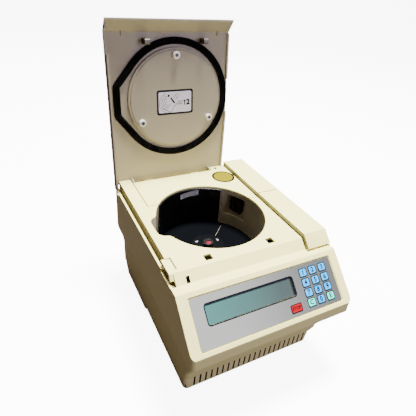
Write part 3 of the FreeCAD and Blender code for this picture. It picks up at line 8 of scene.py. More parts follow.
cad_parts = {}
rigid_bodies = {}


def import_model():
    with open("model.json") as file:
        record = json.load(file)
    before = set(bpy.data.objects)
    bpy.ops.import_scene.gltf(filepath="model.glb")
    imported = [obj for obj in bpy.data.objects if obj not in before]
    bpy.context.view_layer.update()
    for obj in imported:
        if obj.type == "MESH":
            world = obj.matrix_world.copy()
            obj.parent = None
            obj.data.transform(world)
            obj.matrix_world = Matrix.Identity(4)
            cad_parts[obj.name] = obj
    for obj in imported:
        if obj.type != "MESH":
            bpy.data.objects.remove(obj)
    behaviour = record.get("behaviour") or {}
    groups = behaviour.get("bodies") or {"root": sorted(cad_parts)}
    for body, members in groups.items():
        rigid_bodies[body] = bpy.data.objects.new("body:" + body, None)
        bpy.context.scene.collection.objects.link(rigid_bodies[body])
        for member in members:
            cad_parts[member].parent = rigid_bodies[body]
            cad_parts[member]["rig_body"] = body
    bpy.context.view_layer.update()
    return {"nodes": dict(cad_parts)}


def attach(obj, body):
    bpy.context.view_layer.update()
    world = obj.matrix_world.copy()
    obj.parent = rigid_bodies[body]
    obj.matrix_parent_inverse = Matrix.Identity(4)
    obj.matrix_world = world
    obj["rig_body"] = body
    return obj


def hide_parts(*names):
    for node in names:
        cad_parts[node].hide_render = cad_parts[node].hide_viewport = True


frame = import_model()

# Looks of the sedimentation rate analyzer: moulded cream case, open lid, black chamber and keypad console.
mm = 0.001
nodes = frame["nodes"]


# Colours and shader groups

def linearLight(part):
    share = part / 255
    return ((share + 0.055) / 1.055) ** 2.4 if part > 10 else share / 12.92


def srgb(red, green, blue):
    # screen colour to the linear value that shaders take
    return (linearLight(red), linearLight(green), linearLight(blue), 1.0)


def newGroup(name, inputs, outputs):
    group = bpy.data.node_groups.new(name, "ShaderNodeTree")
    for label, kind, value in inputs:
        socket = group.interface.new_socket(name=label, in_out="INPUT", socket_type=kind)
        socket.default_value = value
    for label, kind in outputs:
        group.interface.new_socket(name=label, in_out="OUTPUT", socket_type=kind)
    entry = group.nodes.new("NodeGroupInput")
    outlet = group.nodes.new("NodeGroupOutput")
    return group, entry, outlet


skinPattern = {
    "cloudScale": 14.0, "cloudDetail": 6.0, "speckDetail": 3.0, "speckLow": 0.3, "speckHigh": 0.7,
    "fleckDark": 0.93, "fleckBright": 1.035, "rubScale": 38.0, "rubDetail": 5.0, "rubMiddle": 0.5,
}


def buildMouldedSkin():
    # fine grain, soft cloudiness of the colour and a little handling gloss
    group, entry, outlet = newGroup("mouldedSkin", [
        ("Color", "NodeSocketColor", (0.8, 0.8, 0.8, 1)),
        ("Tint", "NodeSocketColor", (0.7, 0.65, 0.5, 1)),
        ("Cloud", "NodeSocketFloat", 0.2),
        ("Grain size", "NodeSocketFloat", 1400.0),
        ("Roughness", "NodeSocketFloat", 0.5),
        ("Gloss spread", "NodeSocketFloat", 0.15),
    ], [("Color", "NodeSocketColor"), ("Roughness", "NodeSocketFloat"), ("Height", "NodeSocketFloat")])
    links = group.links
    place = group.nodes.new("ShaderNodeTexCoord")
    cloud = group.nodes.new("ShaderNodeTexNoise")
    cloud.inputs["Scale"].default_value = skinPattern["cloudScale"]
    cloud.inputs["Detail"].default_value = skinPattern["cloudDetail"]
    links.new(place.outputs["Object"], cloud.inputs["Vector"])
    amount = group.nodes.new("ShaderNodeMath")
    amount.operation = "MULTIPLY"
    links.new(cloud.outputs["Fac"], amount.inputs[0])
    links.new(entry.outputs["Cloud"], amount.inputs[1])
    mix = group.nodes.new("ShaderNodeMix")
    mix.data_type = "RGBA"
    links.new(amount.outputs[0], mix.inputs["Factor"])
    links.new(entry.outputs["Color"], mix.inputs["A"])
    links.new(entry.outputs["Tint"], mix.inputs["B"])
    speck = group.nodes.new("ShaderNodeTexNoise")
    speck.inputs["Detail"].default_value = skinPattern["speckDetail"]
    links.new(place.outputs["Object"], speck.inputs["Vector"])
    links.new(entry.outputs["Grain size"], speck.inputs["Scale"])
    fleck = group.nodes.new("ShaderNodeMapRange")
    fleck.inputs["From Min"].default_value = skinPattern["speckLow"]
    fleck.inputs["From Max"].default_value = skinPattern["speckHigh"]
    fleck.inputs["To Min"].default_value = skinPattern["fleckDark"]
    fleck.inputs["To Max"].default_value = skinPattern["fleckBright"]
    links.new(speck.outputs["Fac"], fleck.inputs["Value"])
    shade = group.nodes.new("ShaderNodeMix")
    shade.data_type = "RGBA"
    shade.blend_type = "MULTIPLY"
    shade.inputs["Factor"].default_value = 1.0
    links.new(mix.outputs["Result"], shade.inputs["A"])
    links.new(fleck.outputs["Result"], shade.inputs["B"])
    links.new(shade.outputs["Result"], outlet.inputs["Color"])
    rubbed = group.nodes.new("ShaderNodeTexNoise")
    rubbed.inputs["Scale"].default_value = skinPattern["rubScale"]
    rubbed.inputs["Detail"].default_value = skinPattern["rubDetail"]
    links.new(place.outputs["Object"], rubbed.inputs["Vector"])
    centred = group.nodes.new("ShaderNodeMath")
    centred.operation = "SUBTRACT"
    centred.inputs[1].default_value = skinPattern["rubMiddle"]
    links.new(rubbed.outputs["Fac"], centred.inputs[0])
    spread = group.nodes.new("ShaderNodeMath")
    spread.operation = "MULTIPLY_ADD"
    links.new(centred.outputs[0], spread.inputs[0])
    links.new(entry.outputs["Gloss spread"], spread.inputs[1])
    links.new(entry.outputs["Roughness"], spread.inputs[2])
    links.new(spread.outputs[0], outlet.inputs["Roughness"])
    links.new(speck.outputs["Fac"], outlet.inputs["Height"])
    return group


def buildCreaseShade():
    # multiplies the colour by a tone inside a box, which may lie on the slope of the console; a tone below
    # one is painted shade and a tone above one is painted light
    group, entry, outlet = newGroup("paintedShadeLight", [
        ("Color", "NodeSocketColor", (0.8, 0.8, 0.8, 1)),
        ("Tone", "NodeSocketColor", (0.4, 0.4, 0.4, 1)),
        ("Origin", "NodeSocketVector", (0, 0, 0)),
        ("Turn", "NodeSocketFloat", 0.0),
        ("Low", "NodeSocketVector", (0, 0, 0)),
        ("High", "NodeSocketVector", (0, 0, 0)),
        ("Soft", "NodeSocketFloat", 0.0002),
    ], [("Color", "NodeSocketColor")])
    links = group.links

    def vectorStep(operation, first, second):
        step = group.nodes.new("ShaderNodeVectorMath")
        step.operation = operation
        links.new(first, step.inputs[0])
        links.new(second, step.inputs[1])
        return step.outputs["Vector"]

    place = group.nodes.new("ShaderNodeTexCoord")
    local = group.nodes.new("ShaderNodeVectorRotate")
    local.rotation_type = "X_AXIS"
    fromOrigin = vectorStep("SUBTRACT", place.outputs["Object"], entry.outputs["Origin"])
    links.new(fromOrigin, local.inputs["Vector"])
    links.new(entry.outputs["Turn"], local.inputs["Angle"])
    spot = local.outputs["Vector"]
    inside = vectorStep("MINIMUM", vectorStep("SUBTRACT", spot, entry.outputs["Low"]),
                        vectorStep("SUBTRACT", entry.outputs["High"], spot))
    parts = group.nodes.new("ShaderNodeSeparateXYZ")
    links.new(inside, parts.inputs[0])
    least = parts.outputs["X"]
    for axis in "YZ":
        lower = group.nodes.new("ShaderNodeMath")
        lower.operation = "MINIMUM"
        links.new(least, lower.inputs[0])
        links.new(parts.outputs[axis], lower.inputs[1])
        least = lower.outputs[0]
    share = group.nodes.new("ShaderNodeMapRange")
    links.new(least, share.inputs["Value"])
    links.new(entry.outputs["Soft"], share.inputs["From Max"])
    mix = group.nodes.new("ShaderNodeMix")
    mix.data_type = "RGBA"
    mix.blend_type = "MULTIPLY"
    links.new(share.outputs["Result"], mix.inputs["Factor"])
    links.new(entry.outputs["Color"], mix.inputs["A"])
    links.new(entry.outputs["Tone"], mix.inputs["B"])
    links.new(mix.outputs["Result"], outlet.inputs["Color"])
    return group


mouldedSkin = buildMouldedSkin()
paintedShadeLight = buildCreaseShade()


def skinMaterial(name, look):
    # moulded or painted finish from the shared skin group
    material = bpy.data.materials.new(name)
    material.use_nodes = True
    tree = material.node_tree
    shader = tree.nodes["Principled BSDF"]
    skin = tree.nodes.new("ShaderNodeGroup")
    skin.node_tree = mouldedSkin
    skin.inputs["Color"].default_value = look["color"]
    skin.inputs["Tint"].default_value = look["tint"]
    skin.inputs["Cloud"].default_value = look.get("cloud", 0.2)
    skin.inputs["Grain size"].default_value = look.get("grain", 1400.0)
    skin.inputs["Roughness"].default_value = look["roughness"]
    skin.inputs["Gloss spread"].default_value = look.get("spread", 0.15)
    shader.inputs["Metallic"].default_value = look.get("metallic", 0.0)
    shader.inputs["Specular IOR Level"].default_value = look.get("specular", 0.5)
    shader.inputs["Coat Weight"].default_value = look.get("coat", 0.0)
    shader.inputs["Coat Roughness"].default_value = look.get("coatRoughness", 0.1)
    bump = tree.nodes.new("ShaderNodeBump")
    bump.inputs["Strength"].default_value = look.get("bump", 0.12)
    bump.inputs["Distance"].default_value = look.get("depth", 0.0002)
    tree.links.new(skin.outputs["Color"], shader.inputs["Base Color"])
    tree.links.new(skin.outputs["Roughness"], shader.inputs["Roughness"])
    tree.links.new(skin.outputs["Height"], bump.inputs["Height"])
    tree.links.new(bump.outputs["Normal"], shader.inputs["Normal"])
    return material


looks = {
    "caseCream": {"color": srgb(244, 238, 154), "tint": srgb(238, 229, 142), "cloud": 0.35,
                  "roughness": 0.5, "grain": 620.0, "bump": 0.3},
    "baseBeige": {"color": srgb(242, 230, 158), "tint": srgb(226, 212, 140), "cloud": 0.45,
                  "roughness": 0.55, "grain": 620.0, "bump": 0.3},
    # the lid's tone is a darker, browner copy of the case cream: painted shade for its dim inner face
    "lidShadedCream": {"color": srgb(172, 163, 137), "tint": srgb(158, 148, 120), "cloud": 0.5, "roughness": 0.5,
                 "grain": 1300.0, "bump": 0.2},
    # the chamber's olive is a darker copy of the beige case plastic: painted shade inside the chamber
    "chamberShadedBeige": {"color": srgb(162, 156, 132), "tint": srgb(136, 130, 106), "cloud": 0.5,
                     "roughness": 0.42, "grain": 900.0, "bump": 0.08},
    "matNavy": {"color": srgb(3, 4, 7), "tint": srgb(7, 9, 13), "cloud": 0.5, "roughness": 0.8,
                "grain": 700.0, "bump": 0.3, "specular": 0.02},
    "shieldBlack": {"color": srgb(5, 6, 6), "tint": srgb(12, 12, 13), "cloud": 0.3, "roughness": 0.22,
                    "spread": 0.2, "grain": 500.0, "bump": 0.04, "specular": 0.3},
    "fineBlack": {"color": srgb(18, 18, 19), "tint": srgb(32, 31, 30), "cloud": 0.4, "roughness": 0.45,
                  "grain": 1200.0, "bump": 0.12, "specular": 0.35},
    "housingBlack": {"color": srgb(4, 5, 8), "tint": srgb(8, 10, 14), "cloud": 0.5, "roughness": 0.7,
                     "grain": 700.0, "bump": 0.25, "specular": 0.03},
    "gasketBlack": {"color": srgb(5, 5, 5), "tint": srgb(10, 10, 9), "cloud": 0.4, "roughness": 0.8,
                    "grain": 1100.0, "bump": 0.35, "depth": 0.0004, "specular": 0.1},
    "footRubber": {"color": srgb(28, 28, 28), "tint": srgb(52, 50, 47), "cloud": 0.5, "roughness": 0.8,
                   "grain": 800.0, "bump": 0.3},
    # the strikers' brown is a darkened copy of the lid cream: painted shade
    "strikerShadedCream": {"color": srgb(98, 90, 76), "tint": srgb(80, 72, 60), "cloud": 0.5, "roughness": 0.4,
                     "grain": 900.0, "bump": 0.1},
    "knobWhite": {"color": srgb(238, 236, 230), "tint": srgb(222, 216, 204), "cloud": 0.3,
                  "roughness": 0.35, "grain": 900.0, "bump": 0.05},
    "membraneGrey": {"color": srgb(138, 142, 138), "tint": srgb(124, 128, 126), "cloud": 0.5,
                     "roughness": 0.42, "spread": 0.1, "grain": 2200.0, "bump": 0.1},
    "hubRed": {"color": srgb(140, 6, 44), "tint": srgb(110, 3, 30), "cloud": 0.3, "roughness": 0.3,
               "grain": 900.0, "bump": 0.05},
    # pale grey screw heads as a painted highlight; painted shade covers the rear of each head
    "screwPaintedHighlight": {"color": srgb(170, 172, 176), "tint": srgb(110, 112, 118), "cloud": 0.9,
                    "roughness": 0.25, "grain": 500.0, "bump": 0.1},
    "boardGreen": {"color": srgb(20, 84, 48), "tint": srgb(12, 60, 34), "cloud": 0.5, "roughness": 0.35,
                   "grain": 600.0, "bump": 0.1},
    "coilLacquer": {"color": srgb(70, 66, 52), "tint": srgb(48, 44, 34), "cloud": 0.5, "roughness": 0.5,
                    "grain": 900.0, "bump": 0.1},
    "motorGrey": {"color": srgb(88, 90, 94), "tint": srgb(66, 68, 72), "cloud": 0.4, "roughness": 0.45,
                  "grain": 900.0, "bump": 0.15},
    "zincSheet": {"color": srgb(176, 178, 176), "tint": srgb(150, 154, 156), "cloud": 0.6,
                  "roughness": 0.38, "metallic": 1.0, "grain": 260.0, "bump": 0.06},
    "groundSteel": {"color": srgb(196, 197, 198), "tint": srgb(170, 172, 175), "cloud": 0.4,
                    "roughness": 0.24, "metallic": 1.0, "grain": 1800.0, "bump": 0.05},
    "prongBrass": {"color": srgb(206, 178, 108), "tint": srgb(180, 146, 80), "cloud": 0.5, "roughness": 0.3,
                   "metallic": 1.0, "grain": 900.0, "bump": 0.04},
    "keyBlue": {"color": srgb(2, 168, 249), "tint": srgb(2, 156, 242), "cloud": 0.4, "roughness": 0.5,
                "grain": 2200.0, "bump": 0.08, "specular": 0.2},
    "keyMint": {"color": srgb(30, 246, 222), "tint": srgb(24, 236, 210), "cloud": 0.4, "roughness": 0.5,
                "grain": 2200.0, "bump": 0.08, "specular": 0.2},
    "keyRed": {"color": srgb(166, 1, 12), "tint": srgb(150, 1, 9), "cloud": 0.4, "roughness": 0.5,
               "grain": 2200.0, "bump": 0.08, "specular": 0.15},
    "printDark": {"color": srgb(12, 12, 22), "tint": srgb(7, 7, 14), "cloud": 0.4, "roughness": 0.5,
                  "grain": 2200.0, "bump": 0.05, "specular": 0.15},
    "labelLavender": {"color": srgb(232, 228, 240), "tint": srgb(214, 208, 226), "cloud": 0.4,
                      "roughness": 0.35, "grain": 1500.0, "bump": 0.05},
    "labelBlack": {"color": srgb(6, 6, 8), "tint": srgb(11, 11, 13), "cloud": 0.4, "roughness": 0.5,
                   "grain": 1500.0, "bump": 0.05, "specular": 0.15},
    "labelGrey": {"color": srgb(44, 42, 52), "tint": srgb(34, 33, 42), "cloud": 0.4, "roughness": 0.5,
                  "grain": 1500.0, "bump": 0.05, "specular": 0.2},
    "labelWhite": {"color": srgb(226, 226, 226), "tint": srgb(200, 200, 202), "cloud": 0.4,
                   "roughness": 0.35, "grain": 1500.0, "bump": 0.05},
    "stickerYellow": {"color": srgb(118, 109, 0), "tint": srgb(112, 103, 0), "cloud": 0.4, "roughness": 0.6,
                      "grain": 1500.0, "bump": 0.05, "specular": 0.1},
    # black for the sheet behind the vents, which is painted shade
    "ventShadeBlack": {"color": srgb(10, 10, 11), "tint": srgb(20, 20, 20), "cloud": 0.5, "roughness": 0.9,
                    "grain": 500.0, "bump": 0.4, "specular": 0.1},
}
materials = {name: skinMaterial(name, look) for name, look in looks.items()}


hinge = {"y": 137.8, "z": 185.0, "open": 96.4}
slope = {"lowerY": -170.0, "lowerZ": 123.4, "upperY": -115.6, "upperZ": 175.8}
slopeTurn = math.atan2(slope["upperZ"] - slope["lowerZ"], slope["upperY"] - slope["lowerY"])


def paintShadeAndLight(material, creases):
    # painted shade, painted shadow and painted light, each in a box of its own, between the colour and the
    # shader
    tree = material.node_tree
    target = tree.nodes["Principled BSDF"].inputs["Base Color"]
    for crease in creases.values():
        shade = tree.nodes.new("ShaderNodeGroup")
        shade.node_tree = paintedShadeLight
        tree.links.new(target.links[0].from_socket, shade.inputs["Color"])
        shade.inputs["Tone"].default_value = crease["tone"] + (1.0,)
        shade.inputs["Low"].default_value = Vector(crease["low"]) * mm
        shade.inputs["High"].default_value = Vector(crease["high"]) * mm
        shade.inputs["Soft"].default_value = crease.get("soft", 0.15) * mm
        if crease.get("onSlope"):
            shade.inputs["Origin"].default_value = Vector((0, slope["lowerY"], slope["lowerZ"])) * mm
            shade.inputs["Turn"].default_value = -slopeTurn
        tree.links.new(shade.outputs["Color"], target)


# painted shade in the gutter, the channels, the seams, the lug grooves, the release slot, the walls of the
# display window and along the top of the console recess
casePaintedShade = {
    "gutter": {"low": (79.4, -108.2, 150), "high": (81.9, 150, 193.8), "tone": (0.27, 0.26, 0.3)},
    "channel": {"low": (-117.4, -63.4, 170), "high": (-112.9, 140, 187.2), "tone": (0.2, 0.17, 0.2)},
    "channelFront": {"low": (-117.4, -102.6, 150), "high": (-112.9, -63.4, 178.0), "tone": (0.25, 0.2, 0.22)},
    "insertSide": {"low": (-94.7, 55.8, 183), "high": (-92.9, 140, 189), "tone": (0.28, 0.25, 0.24)},
    "insertLeft": {"low": (-94.7, 55.6, 183), "high": (-74, 57.2, 189), "tone": (0.5, 0.47, 0.44)},
    "insertRight": {"low": (63, 24.7, 183), "high": (80, 26.1, 189), "tone": (0.62, 0.6, 0.56)},
    "coverSeam": {"low": (81, 24.7, 170), "high": (121, 26.7, 195), "tone": (0.4, 0.37, 0.33)},
    "lugGroove": {"low": (-107.9, -86.0, 184), "high": (-105.9, -63.2, 188), "tone": (0.16, 0.13, 0.12)},
    "lugGrooveRear": {"low": (-113.4, -65.3, 184), "high": (-105.9, -63.4, 188), "tone": (0.4, 0.36, 0.33)},
    "releaseSlot": {"low": (-99.5, -102.8, 160), "high": (-94.6, -96.1, 186), "tone": (0.015, 0.015, 0.015)},
    "windowWall": {"onSlope": True, "low": (-92, 29, -8), "high": (42, 60, -1.3), "tone": (0.03, 0.03, 0.04)},
    "recessTop": {"onSlope": True, "low": (-108, 68.7, -1.4), "high": (108, 69.4, 0.4),
                  "tone": (0.34, 0.31, 0.27)},
}
# painted light: the notch wall and the jamb and floor of the reader pocket are brightened by a tone above one
bowlPaintedLight = {
    "notch": {"low": (-105, -25, 116), "high": (-89, 32, 186), "tone": (2.3, 2.2, 2.3), "soft": 2.0},
    "pocketJamb": {"low": (44.6, 61.5, 141.3), "high": (60.8, 78, 176.8), "tone": (2.0, 1.95, 1.8),
                   "soft": 0.5},
    "pocketFloor": {"low": (44.6, 30, 139), "high": (76, 78, 141.3), "tone": (2.0, 1.95, 1.8)},
}
# painted shade on the inner face of the lid's bent front flange
lidPaintedShade = {
    "flange": {"low": (-125, 60, 413), "high": (125, 150, 460), "tone": (0.66, 0.61, 0.66), "soft": 3.0},
}
# painted shade on the walls of the vent slots
ventPaintedShade = {
    "ventWalls": {"low": (-104, -126.4, 4.4), "high": (104, -122, 25.6), "tone": (0.05, 0.05, 0.05)},
}
# painted shade over the rear of each screw head, which leaves the rest as a painted highlight
screwPaintedShade = {
    "leftShade": {"low": (-31, 20.9, 120), "high": (-22, 26, 136), "tone": (0.02, 0.02, 0.02)},
    "rightShade": {"low": (1, 7, 120), "high": (5.2, 17, 136), "tone": (0.02, 0.02, 0.02)},
}
# painted shadow of the deep window's right end and top edge on the display
displayPaintedShadow = {
    "rightEnd": {"onSlope": True, "low": (34.6, 28, -20), "high": (42, 60, 2), "tone": (0.2, 0.18, 0.2),
                 "soft": 1.2},
    "topEdge": {"onSlope": True, "low": (-92, 54.9, -20), "high": (42, 60, 2), "tone": (0.4, 0.4, 0.42),
                "soft": 1.0},
}
# two red lobes on the hub insert; the dark rest is painted shadow
hubLobes = {
    "lobes": (((-16.4, 6.4, 135.0), 2.1), ((-12.3, 4.6, 135.0), 2.7)), "soft": 0.4, "dark": srgb(10, 6, 8),
}


def shadeLobes(material):
    # the red shows only in two rounded lobes, and the rest of the insert is painted dark as a painted shadow
    # over its back
    tree = material.node_tree
    target = tree.nodes["Principled BSDF"].inputs["Base Color"]
    place = tree.nodes.new("ShaderNodeTexCoord")
    share = None
    for centre, radius in hubLobes["lobes"]:
        away = tree.nodes.new("ShaderNodeVectorMath")
        away.operation = "DISTANCE"
        away.inputs[1].default_value = Vector(centre) * mm
        tree.links.new(place.outputs["Object"], away.inputs[0])
        edge = tree.nodes.new("ShaderNodeMapRange")
        edge.inputs["From Min"].default_value = (radius + hubLobes["soft"]) * mm
        edge.inputs["From Max"].default_value = (radius - hubLobes["soft"]) * mm
        tree.links.new(away.outputs["Value"], edge.inputs["Value"])
        if share is None:
            share = edge.outputs["Result"]
            continue
        either = tree.nodes.new("ShaderNodeMath")
        either.operation = "MAXIMUM"
        tree.links.new(share, either.inputs[0])
        tree.links.new(edge.outputs["Result"], either.inputs[1])
        share = either.outputs[0]
    mix = tree.nodes.new("ShaderNodeMix")
    mix.data_type = "RGBA"
    mix.inputs["A"].default_value = hubLobes["dark"]
    tree.links.new(share, mix.inputs["Factor"])
    tree.links.new(target.links[0].from_socket, mix.inputs["B"])
    tree.links.new(mix.outputs["Result"], target)


def shadeLidInside(material):
    # the inner face of the lid has the darker, browner tone, which is painted shade, and the outer skin the
    # tone of the case
    tree = material.node_tree
    shader = tree.nodes["Principled BSDF"]
    look = {"skinZ": 192.4 * mm, "blend": 0.6 * mm, "outer": srgb(243, 236, 160)}
    turn = math.radians(hinge["open"])
    hingeZ = hinge["z"] * mm
    place = tree.nodes.new("ShaderNodeTexCoord")
    away = tree.nodes.new("ShaderNodeVectorMath")
    away.operation = "SUBTRACT"
    away.inputs[1].default_value = (0, hinge["y"] * mm, hingeZ)
    tree.links.new(place.outputs["Object"], away.inputs[0])
    height = tree.nodes.new("ShaderNodeVectorMath")
    height.operation = "DOT_PRODUCT"
    height.inputs[1].default_value = (0, math.sin(turn), math.cos(turn))
    tree.links.new(away.outputs["Vector"], height.inputs[0])
    side = tree.nodes.new("ShaderNodeMapRange")
    side.inputs["From Min"].default_value = look["skinZ"] - hingeZ - look["blend"]
    side.inputs["From Max"].default_value = look["skinZ"] - hingeZ + look["blend"]
    tree.links.new(height.outputs["Value"], side.inputs["Value"])
    mix = tree.nodes.new("ShaderNodeMix")
    mix.data_type = "RGBA"
    mix.inputs["B"].default_value = look["outer"]
    tree.links.new(side.outputs["Result"], mix.inputs["Factor"])
    tree.links.new(shader.inputs["Base Color"].links[0].from_socket, mix.inputs["A"])
    tree.links.new(mix.outputs["Result"], shader.inputs["Base Color"])


def shadeAcross(material, low, high, dark):
    # darkens the colour gently along a line from low to high, both in millimetres
    tree = material.node_tree
    shader = tree.nodes["Principled BSDF"]
    skin = next(n for n in tree.nodes if n.type == "GROUP")
    place = tree.nodes.new("ShaderNodeTexCoord")
    along = tree.nodes.new("ShaderNodeVectorMath")
    along.operation = "DOT_PRODUCT"
    direction = (Vector(high) - Vector(low)).normalized()
    along.inputs[1].default_value = direction
    tree.links.new(place.outputs["Object"], along.inputs[0])
    ramp = tree.nodes.new("ShaderNodeMapRange")
    ramp.interpolation_type = "SMOOTHSTEP"
    ramp.inputs["From Min"].default_value = Vector(low).dot(direction) * mm
    ramp.inputs["From Max"].default_value = Vector(high).dot(direction) * mm
    tree.links.new(along.outputs["Value"], ramp.inputs["Value"])
    mix = tree.nodes.new("ShaderNodeMix")
    mix.data_type = "RGBA"
    mix.blend_type = "MULTIPLY"
    mix.inputs["B"].default_value = dark
    tree.links.new(ramp.outputs["Result"], mix.inputs["Factor"])
    tree.links.new(skin.outputs["Color"], mix.inputs["A"])
    tree.links.new(mix.outputs["Result"], shader.inputs["Base Color"])


def displayMaterial():
    # unlit display: brighter and greener at its left end, darker towards the right
    look = {"left": srgb(62, 116, 112), "right": srgb(56, 69, 68), "fromX": -100 * mm, "toX": 38 * mm,
            "hazeScale": 22.0, "hazeDetail": 4.0, "hazeShare": 0.25, "roughness": 0.25, "grainScale": 1800.0,
            "bump": 0.04, "depth": 0.0001}
    material = bpy.data.materials.new("displayTeal")
    material.use_nodes = True
    tree = material.node_tree
    shader = tree.nodes["Principled BSDF"]
    place = tree.nodes.new("ShaderNodeTexCoord")
    split = tree.nodes.new("ShaderNodeSeparateXYZ")
    tree.links.new(place.outputs["Object"], split.inputs[0])
    across = tree.nodes.new("ShaderNodeMapRange")
    across.inputs["From Min"].default_value = look["fromX"]
    across.inputs["From Max"].default_value = look["toX"]
    tree.links.new(split.outputs["X"], across.inputs["Value"])
    haze = tree.nodes.new("ShaderNodeTexNoise")
    haze.inputs["Scale"].default_value = look["hazeScale"]
    haze.inputs["Detail"].default_value = look["hazeDetail"]
    tree.links.new(place.outputs["Object"], haze.inputs["Vector"])
    blur = tree.nodes.new("ShaderNodeMath")
    blur.operation = "MULTIPLY_ADD"
    blur.inputs[1].default_value = look["hazeShare"]
    tree.links.new(haze.outputs["Fac"], blur.inputs[0])
    tree.links.new(across.outputs["Result"], blur.inputs[2])
    ramp = tree.nodes.new("ShaderNodeMix")
    ramp.data_type = "RGBA"
    ramp.inputs["A"].default_value = look["left"]
    ramp.inputs["B"].default_value = look["right"]
    tree.links.new(blur.outputs[0], ramp.inputs["Factor"])
    tree.links.new(ramp.outputs["Result"], shader.inputs["Base Color"])
    shader.inputs["Roughness"].default_value = look["roughness"]
    fine = tree.nodes.new("ShaderNodeTexNoise")
    fine.inputs["Scale"].default_value = look["grainScale"]
    tree.links.new(place.outputs["Object"], fine.inputs["Vector"])
    bump = tree.nodes.new("ShaderNodeBump")
    bump.inputs["Strength"].default_value = look["bump"]
    bump.inputs["Distance"].default_value = look["depth"]
    tree.links.new(fine.outputs["Fac"], bump.inputs["Height"])
    tree.links.new(bump.outputs["Normal"], shader.inputs["Normal"])
    return material


membraneShade = {"low": (-95, -165, 130), "high": (100, -130, 165), "dark": (0.34, 0.35, 0.36, 1)}
materials["displayTeal"] = displayMaterial()
paintShadeAndLight(materials["caseCream"], casePaintedShade)
paintShadeAndLight(materials["chamberShadedBeige"], bowlPaintedLight)
paintShadeAndLight(materials["lidShadedCream"], lidPaintedShade)
paintShadeAndLight(materials["baseBeige"], ventPaintedShade)
paintShadeAndLight(materials["screwPaintedHighlight"], screwPaintedShade)
paintShadeAndLight(materials["displayTeal"], displayPaintedShadow)
shadeLobes(materials["hubRed"])
shadeLidInside(materials["lidShadedCream"])
shadeAcross(materials["membraneGrey"], membraneShade["low"], membraneShade["high"], membraneShade["dark"])
print("materials", len(materials))


# Finished copies of the CAD pieces

nodeFinish = {
    "case_shell": ("caseCream", 0.5), "rear_deck": ("caseCream", 0.35), "deck_screw": ("groundSteel", 0),
    "side_cover_front": ("caseCream", 0.35), "side_cover_rear": ("caseCream", 0.35),
    "base_tray": ("baseBeige", 0.4), "feet": ("footRubber", 0.2), "case_screws": ("groundSteel", 0),
    "chamber_bowl": ("chamberShadedBeige", 0), "chamber_mat": ("matNavy", 0), "wall_shield": ("shieldBlack", 0),
    "reader_block": ("fineBlack", 0.3), "reader_lens": ("shieldBlack", 0),
    "spindle_housing": ("housingBlack", 0), "spindle_bearing": ("groundSteel", 0),
    "spindle_screws": ("screwPaintedHighlight", 0), "motor_shaft": ("groundSteel", 0),
    "drive_hub": ("fineBlack", 0.2), "hub_insert": ("hubRed", 0), "motor_body": ("motorGrey", 0),
    "motor_bracket": ("zincSheet", 0), "bracket_screws": ("groundSteel", 0),
    "motor_isolators": ("footRubber", 0), "lid_shell": ("lidShadedCream", 0.35),
    "lid_inner_plate": ("lidShadedCream", 0), "lid_gasket": ("gasketBlack", 0.5), "lid_knobs": ("knobWhite", 0),
    "lid_screws": ("motorGrey", 0), "lid_strikers": ("strikerShadedCream", 0.3),
    "hinge_pins": ("groundSteel", 0), "latch_bar": ("zincSheet", 0.2),
    "latch_plunger": ("groundSteel", 0), "latch_solenoid": ("coilLacquer", 0),
    "latch_guides": ("knobWhite", 0.2), "latch_spring": ("groundSteel", 0),
    "keypad_overlay": ("membraneGrey", 0.1), "display_glass": ("displayTeal", 0),
    "display_module": ("fineBlack", 0.3), "main_board": ("boardGreen", 0),
    "board_parts": ("fineBlack", 0.2), "board_standoffs": ("zincSheet", 0),
    "board_screws": ("groundSteel", 0), "power_supply": ("zincSheet", 0.2),
    "power_inlet": ("fineBlack", 0.2), "inlet_prongs": ("prongBrass", 0.2),
    "inlet_screws": ("groundSteel", 0), "switch_frame": ("fineBlack", 0.2),
    "power_switch": ("shieldBlack", 0.3), "serial_port": ("zincSheet", 0.15),
    "serial_jacks": ("groundSteel", 0),
}
smoothAngle = math.radians(32)
flatAngle = math.radians(0.4)
weldDistance = 0.002 * mm


def dressNode(name, materialName, roundWidth):
    # a merged copy of the CAD solid with smooth shading and lightly broken edges
    source = nodes[name]
    mesh = bpy.data.meshes.new(name + "Skin")
    bm = bmesh.new()
    bm.from_mesh(source.data)
    bmesh.ops.remove_doubles(bm, verts=bm.verts[:], dist=weldDistance)
    bmesh.ops.dissolve_limit(bm, angle_limit=flatAngle, verts=bm.verts[:], edges=bm.edges[:])
    bm.to_mesh(mesh)
    bm.free()
    if "custom_normal" in mesh.attributes:
        mesh.attributes.remove(mesh.attributes["custom_normal"])
    piece = bpy.data.objects.new(name + "Skin", mesh)
    bpy.context.scene.collection.objects.link(piece)
    mesh.materials.clear()
    mesh.materials.append(materials[materialName])
    mesh.shade_smooth()
    mesh.set_sharp_from_angle(angle=smoothAngle)
    if roundWidth > 0:
        bevel = piece.modifiers.new("edges", "BEVEL")
        bevel.width = roundWidth * mm
        bevel.segments = 2
        bevel.limit_method = "ANGLE"
        bevel.angle_limit = smoothAngle
        bevel.harden_normals = True
        bevel.miter_outer = "MITER_SHARP"
    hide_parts(name)
    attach(piece, source["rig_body"])
    return piece


skins = {name: dressNode(name, material, width) for name, (material, width) in nodeFinish.items()}
print("dressed nodes", len(skins))


# Camera, floor and lights

